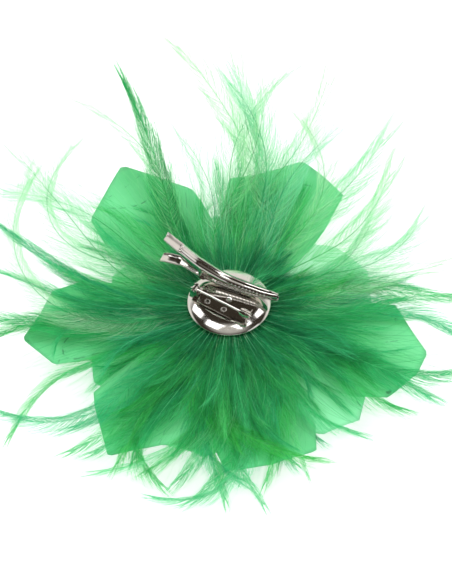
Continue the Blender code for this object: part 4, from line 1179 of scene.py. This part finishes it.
def lower_lever():
    """A channel that opens upwards: a wide thumb paddle with rolled edges, a neck, and toothed jaws."""
    x = np.arange(LOWER_END, CLIP_TIP + 0.01, CLIP_STEP)
    share = along_clip(x, LOWER_END)
    rise = ((-1, 3.7), (-0.85, 4.6), (-0.6, 5.0), (-0.43, 4.0), (-0.17, 1.9), (-0.05, 1.2))
    floor_z = smooth_profile(share, (*rise, (0.61, 1.2), (1, 2.2)), 8)
    neck = 1.7
    paddle = ((-1, 2.2), (-0.94, 2.5), (-0.6, 2.45), (-0.53, neck), (0.1, neck), (0.18, 2.35))
    width = smooth_profile(share, (*paddle, *JAW_WIDTH[1:]), 3)
    wall = np.interp(share, [-1, -0.55, 0], [0.9, 1.4, 1.4])
    edge = np.where(share > 0, np.interp(share, *zip(*MOUTH)) - LIPS_APART, floor_z + wall)
    ear = EAR_RADIUS**2 - (x - CLIP_HINGE) ** 2
    edge = np.where(ear > 0, np.maximum(edge, HINGE_HEIGHT + np.sqrt(np.maximum(ear, 0))), edge)
    # The lower teeth stand half a pitch on, so that they fit between the upper ones.
    edge = edge - TOOTH_DEPTH * toothed(share) + teeth(x + TOOTH_PITCH / 2, share)
    sections = [np.stack([width, edge], axis=1), np.stack([width, floor_z + 0.5], axis=1)]
    for t in np.linspace(1, -1, 13):
        bend = np.sign(t) * abs(t) ** 0.8
        sections.append(np.stack([width * bend, floor_z + 0.45 * abs(bend) ** 4], axis=1))
    sections += [np.stack([-width, floor_z + 0.5], axis=1), np.stack([-width, edge], axis=1)]
    return x, np.stack(sections, axis=1)


clip_lever = channel("clip_lever", *upper_lever(), clip_plating, "clip_upper")
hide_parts("clip_upper_jaw")
clip_base = channel("clip_base", *lower_lever(), clip_plating, FLOWER)
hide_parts("clip_lower_jaw")
spring_steel = plated("spring_wire", (0.60, 0.58, 0.55), 0.28, 0.0, 200.0)
solder = plated("solder", (0.62, 0.61, 0.60), 0.45, 0.4, 900.0)
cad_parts["clip_hinge_pin"].material_slots[0].material = clip_plating
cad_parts["clip_weld"].material_slots[0].material = solder

# The coil spring on the hinge pin: one wire from its lower leg by the base, round the coil, and out along its
# upper leg under the lever.
SPRING_RADIUS, SPRING_WIRE = 1.2, 0.2  # of the coil and of the wire, in millimetres
SPRING_WIDTH = 1.125  # across the coil
SPRING_TURNS = 3
SPRING_LEGS = (-22.7, 5.0), (-22.7, 13.3)  # ends of the legs: along the clip, and above the plate
COIL_STEPS, LEG_STEPS = 100, 14


def coil_path():
    """From the lower leg's end, on to the coil, round it, and out along the upper leg."""
    centre = np.array([CLIP_HINGE, HINGE_HEIGHT])
    angles = []
    for leg, side in zip(SPRING_LEGS, (1, -1)):
        away = np.array(leg) - centre
        angles.append(math.atan2(away[1], away[0]) + side * math.acos(SPRING_RADIUS / np.linalg.norm(away)))
    turn = np.linspace(angles[0], angles[1] + 2 * SPRING_TURNS * math.pi, COIL_STEPS)
    coil = centre + SPRING_RADIUS * np.stack([np.cos(turn), np.sin(turn)], axis=1)
    along = np.linspace(0, 1, LEG_STEPS)[:, None]
    lower = np.array(SPRING_LEGS[0]) * (1 - along) + coil[0] * along
    upper = coil[-1] * (1 - along) + np.array(SPRING_LEGS[1]) * along
    flat = np.concatenate([lower[:-1], coil, upper[1:]])
    lower_side, upper_side = np.full(LEG_STEPS - 1, -0.5), np.full(LEG_STEPS - 1, 0.5)
    across = np.concatenate([lower_side, np.linspace(-0.5, 0.5, COIL_STEPS), upper_side]) * SPRING_WIDTH
    return np.stack([flat[:, 0], across, flat[:, 1]], axis=1) * MM + np.array([0.0, CLIP_Y, PLATE_TOP])


def wire_mesh(name, path, radius, sides=12):
    """A round wire along a path, with flat cut ends."""
    forward = unit(np.gradient(path, axis=0))
    out = unit(np.cross(forward, np.array([0.0, 1.0, 0.0]) + 0 * forward))
    other = np.cross(out, forward)
    turn = np.arange(sides) * 2 * math.pi / sides
    circle = out[:, None] * np.cos(turn)[:, None] + other[:, None] * np.sin(turn)[:, None]
    points = path[:, None] + radius * circle
    i = np.arange(len(path) * sides).reshape(len(path), sides)
    j = np.roll(i, -1, axis=1)
    quads = np.stack([i[:-1], i[1:], j[1:], j[:-1]], axis=-1).reshape(-1, 4)
    ends = [i[0].tolist(), i[-1, ::-1].tolist()]
    mesh = bpy.data.meshes.new(name)
    mesh.from_pydata(points.reshape(-1, 3).tolist(), [], quads.tolist() + ends)
    mesh.shade_smooth()
    mesh.materials.append(spring_steel)
    return mesh


coil_wire = wire_mesh("clip_coil_spring", coil_path(), SPRING_WIRE * MM)
spring = bpy.data.objects.new("clip_coil_spring", coil_wire)
scene.collection.objects.link(spring)
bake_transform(spring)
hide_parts("clip_spring")
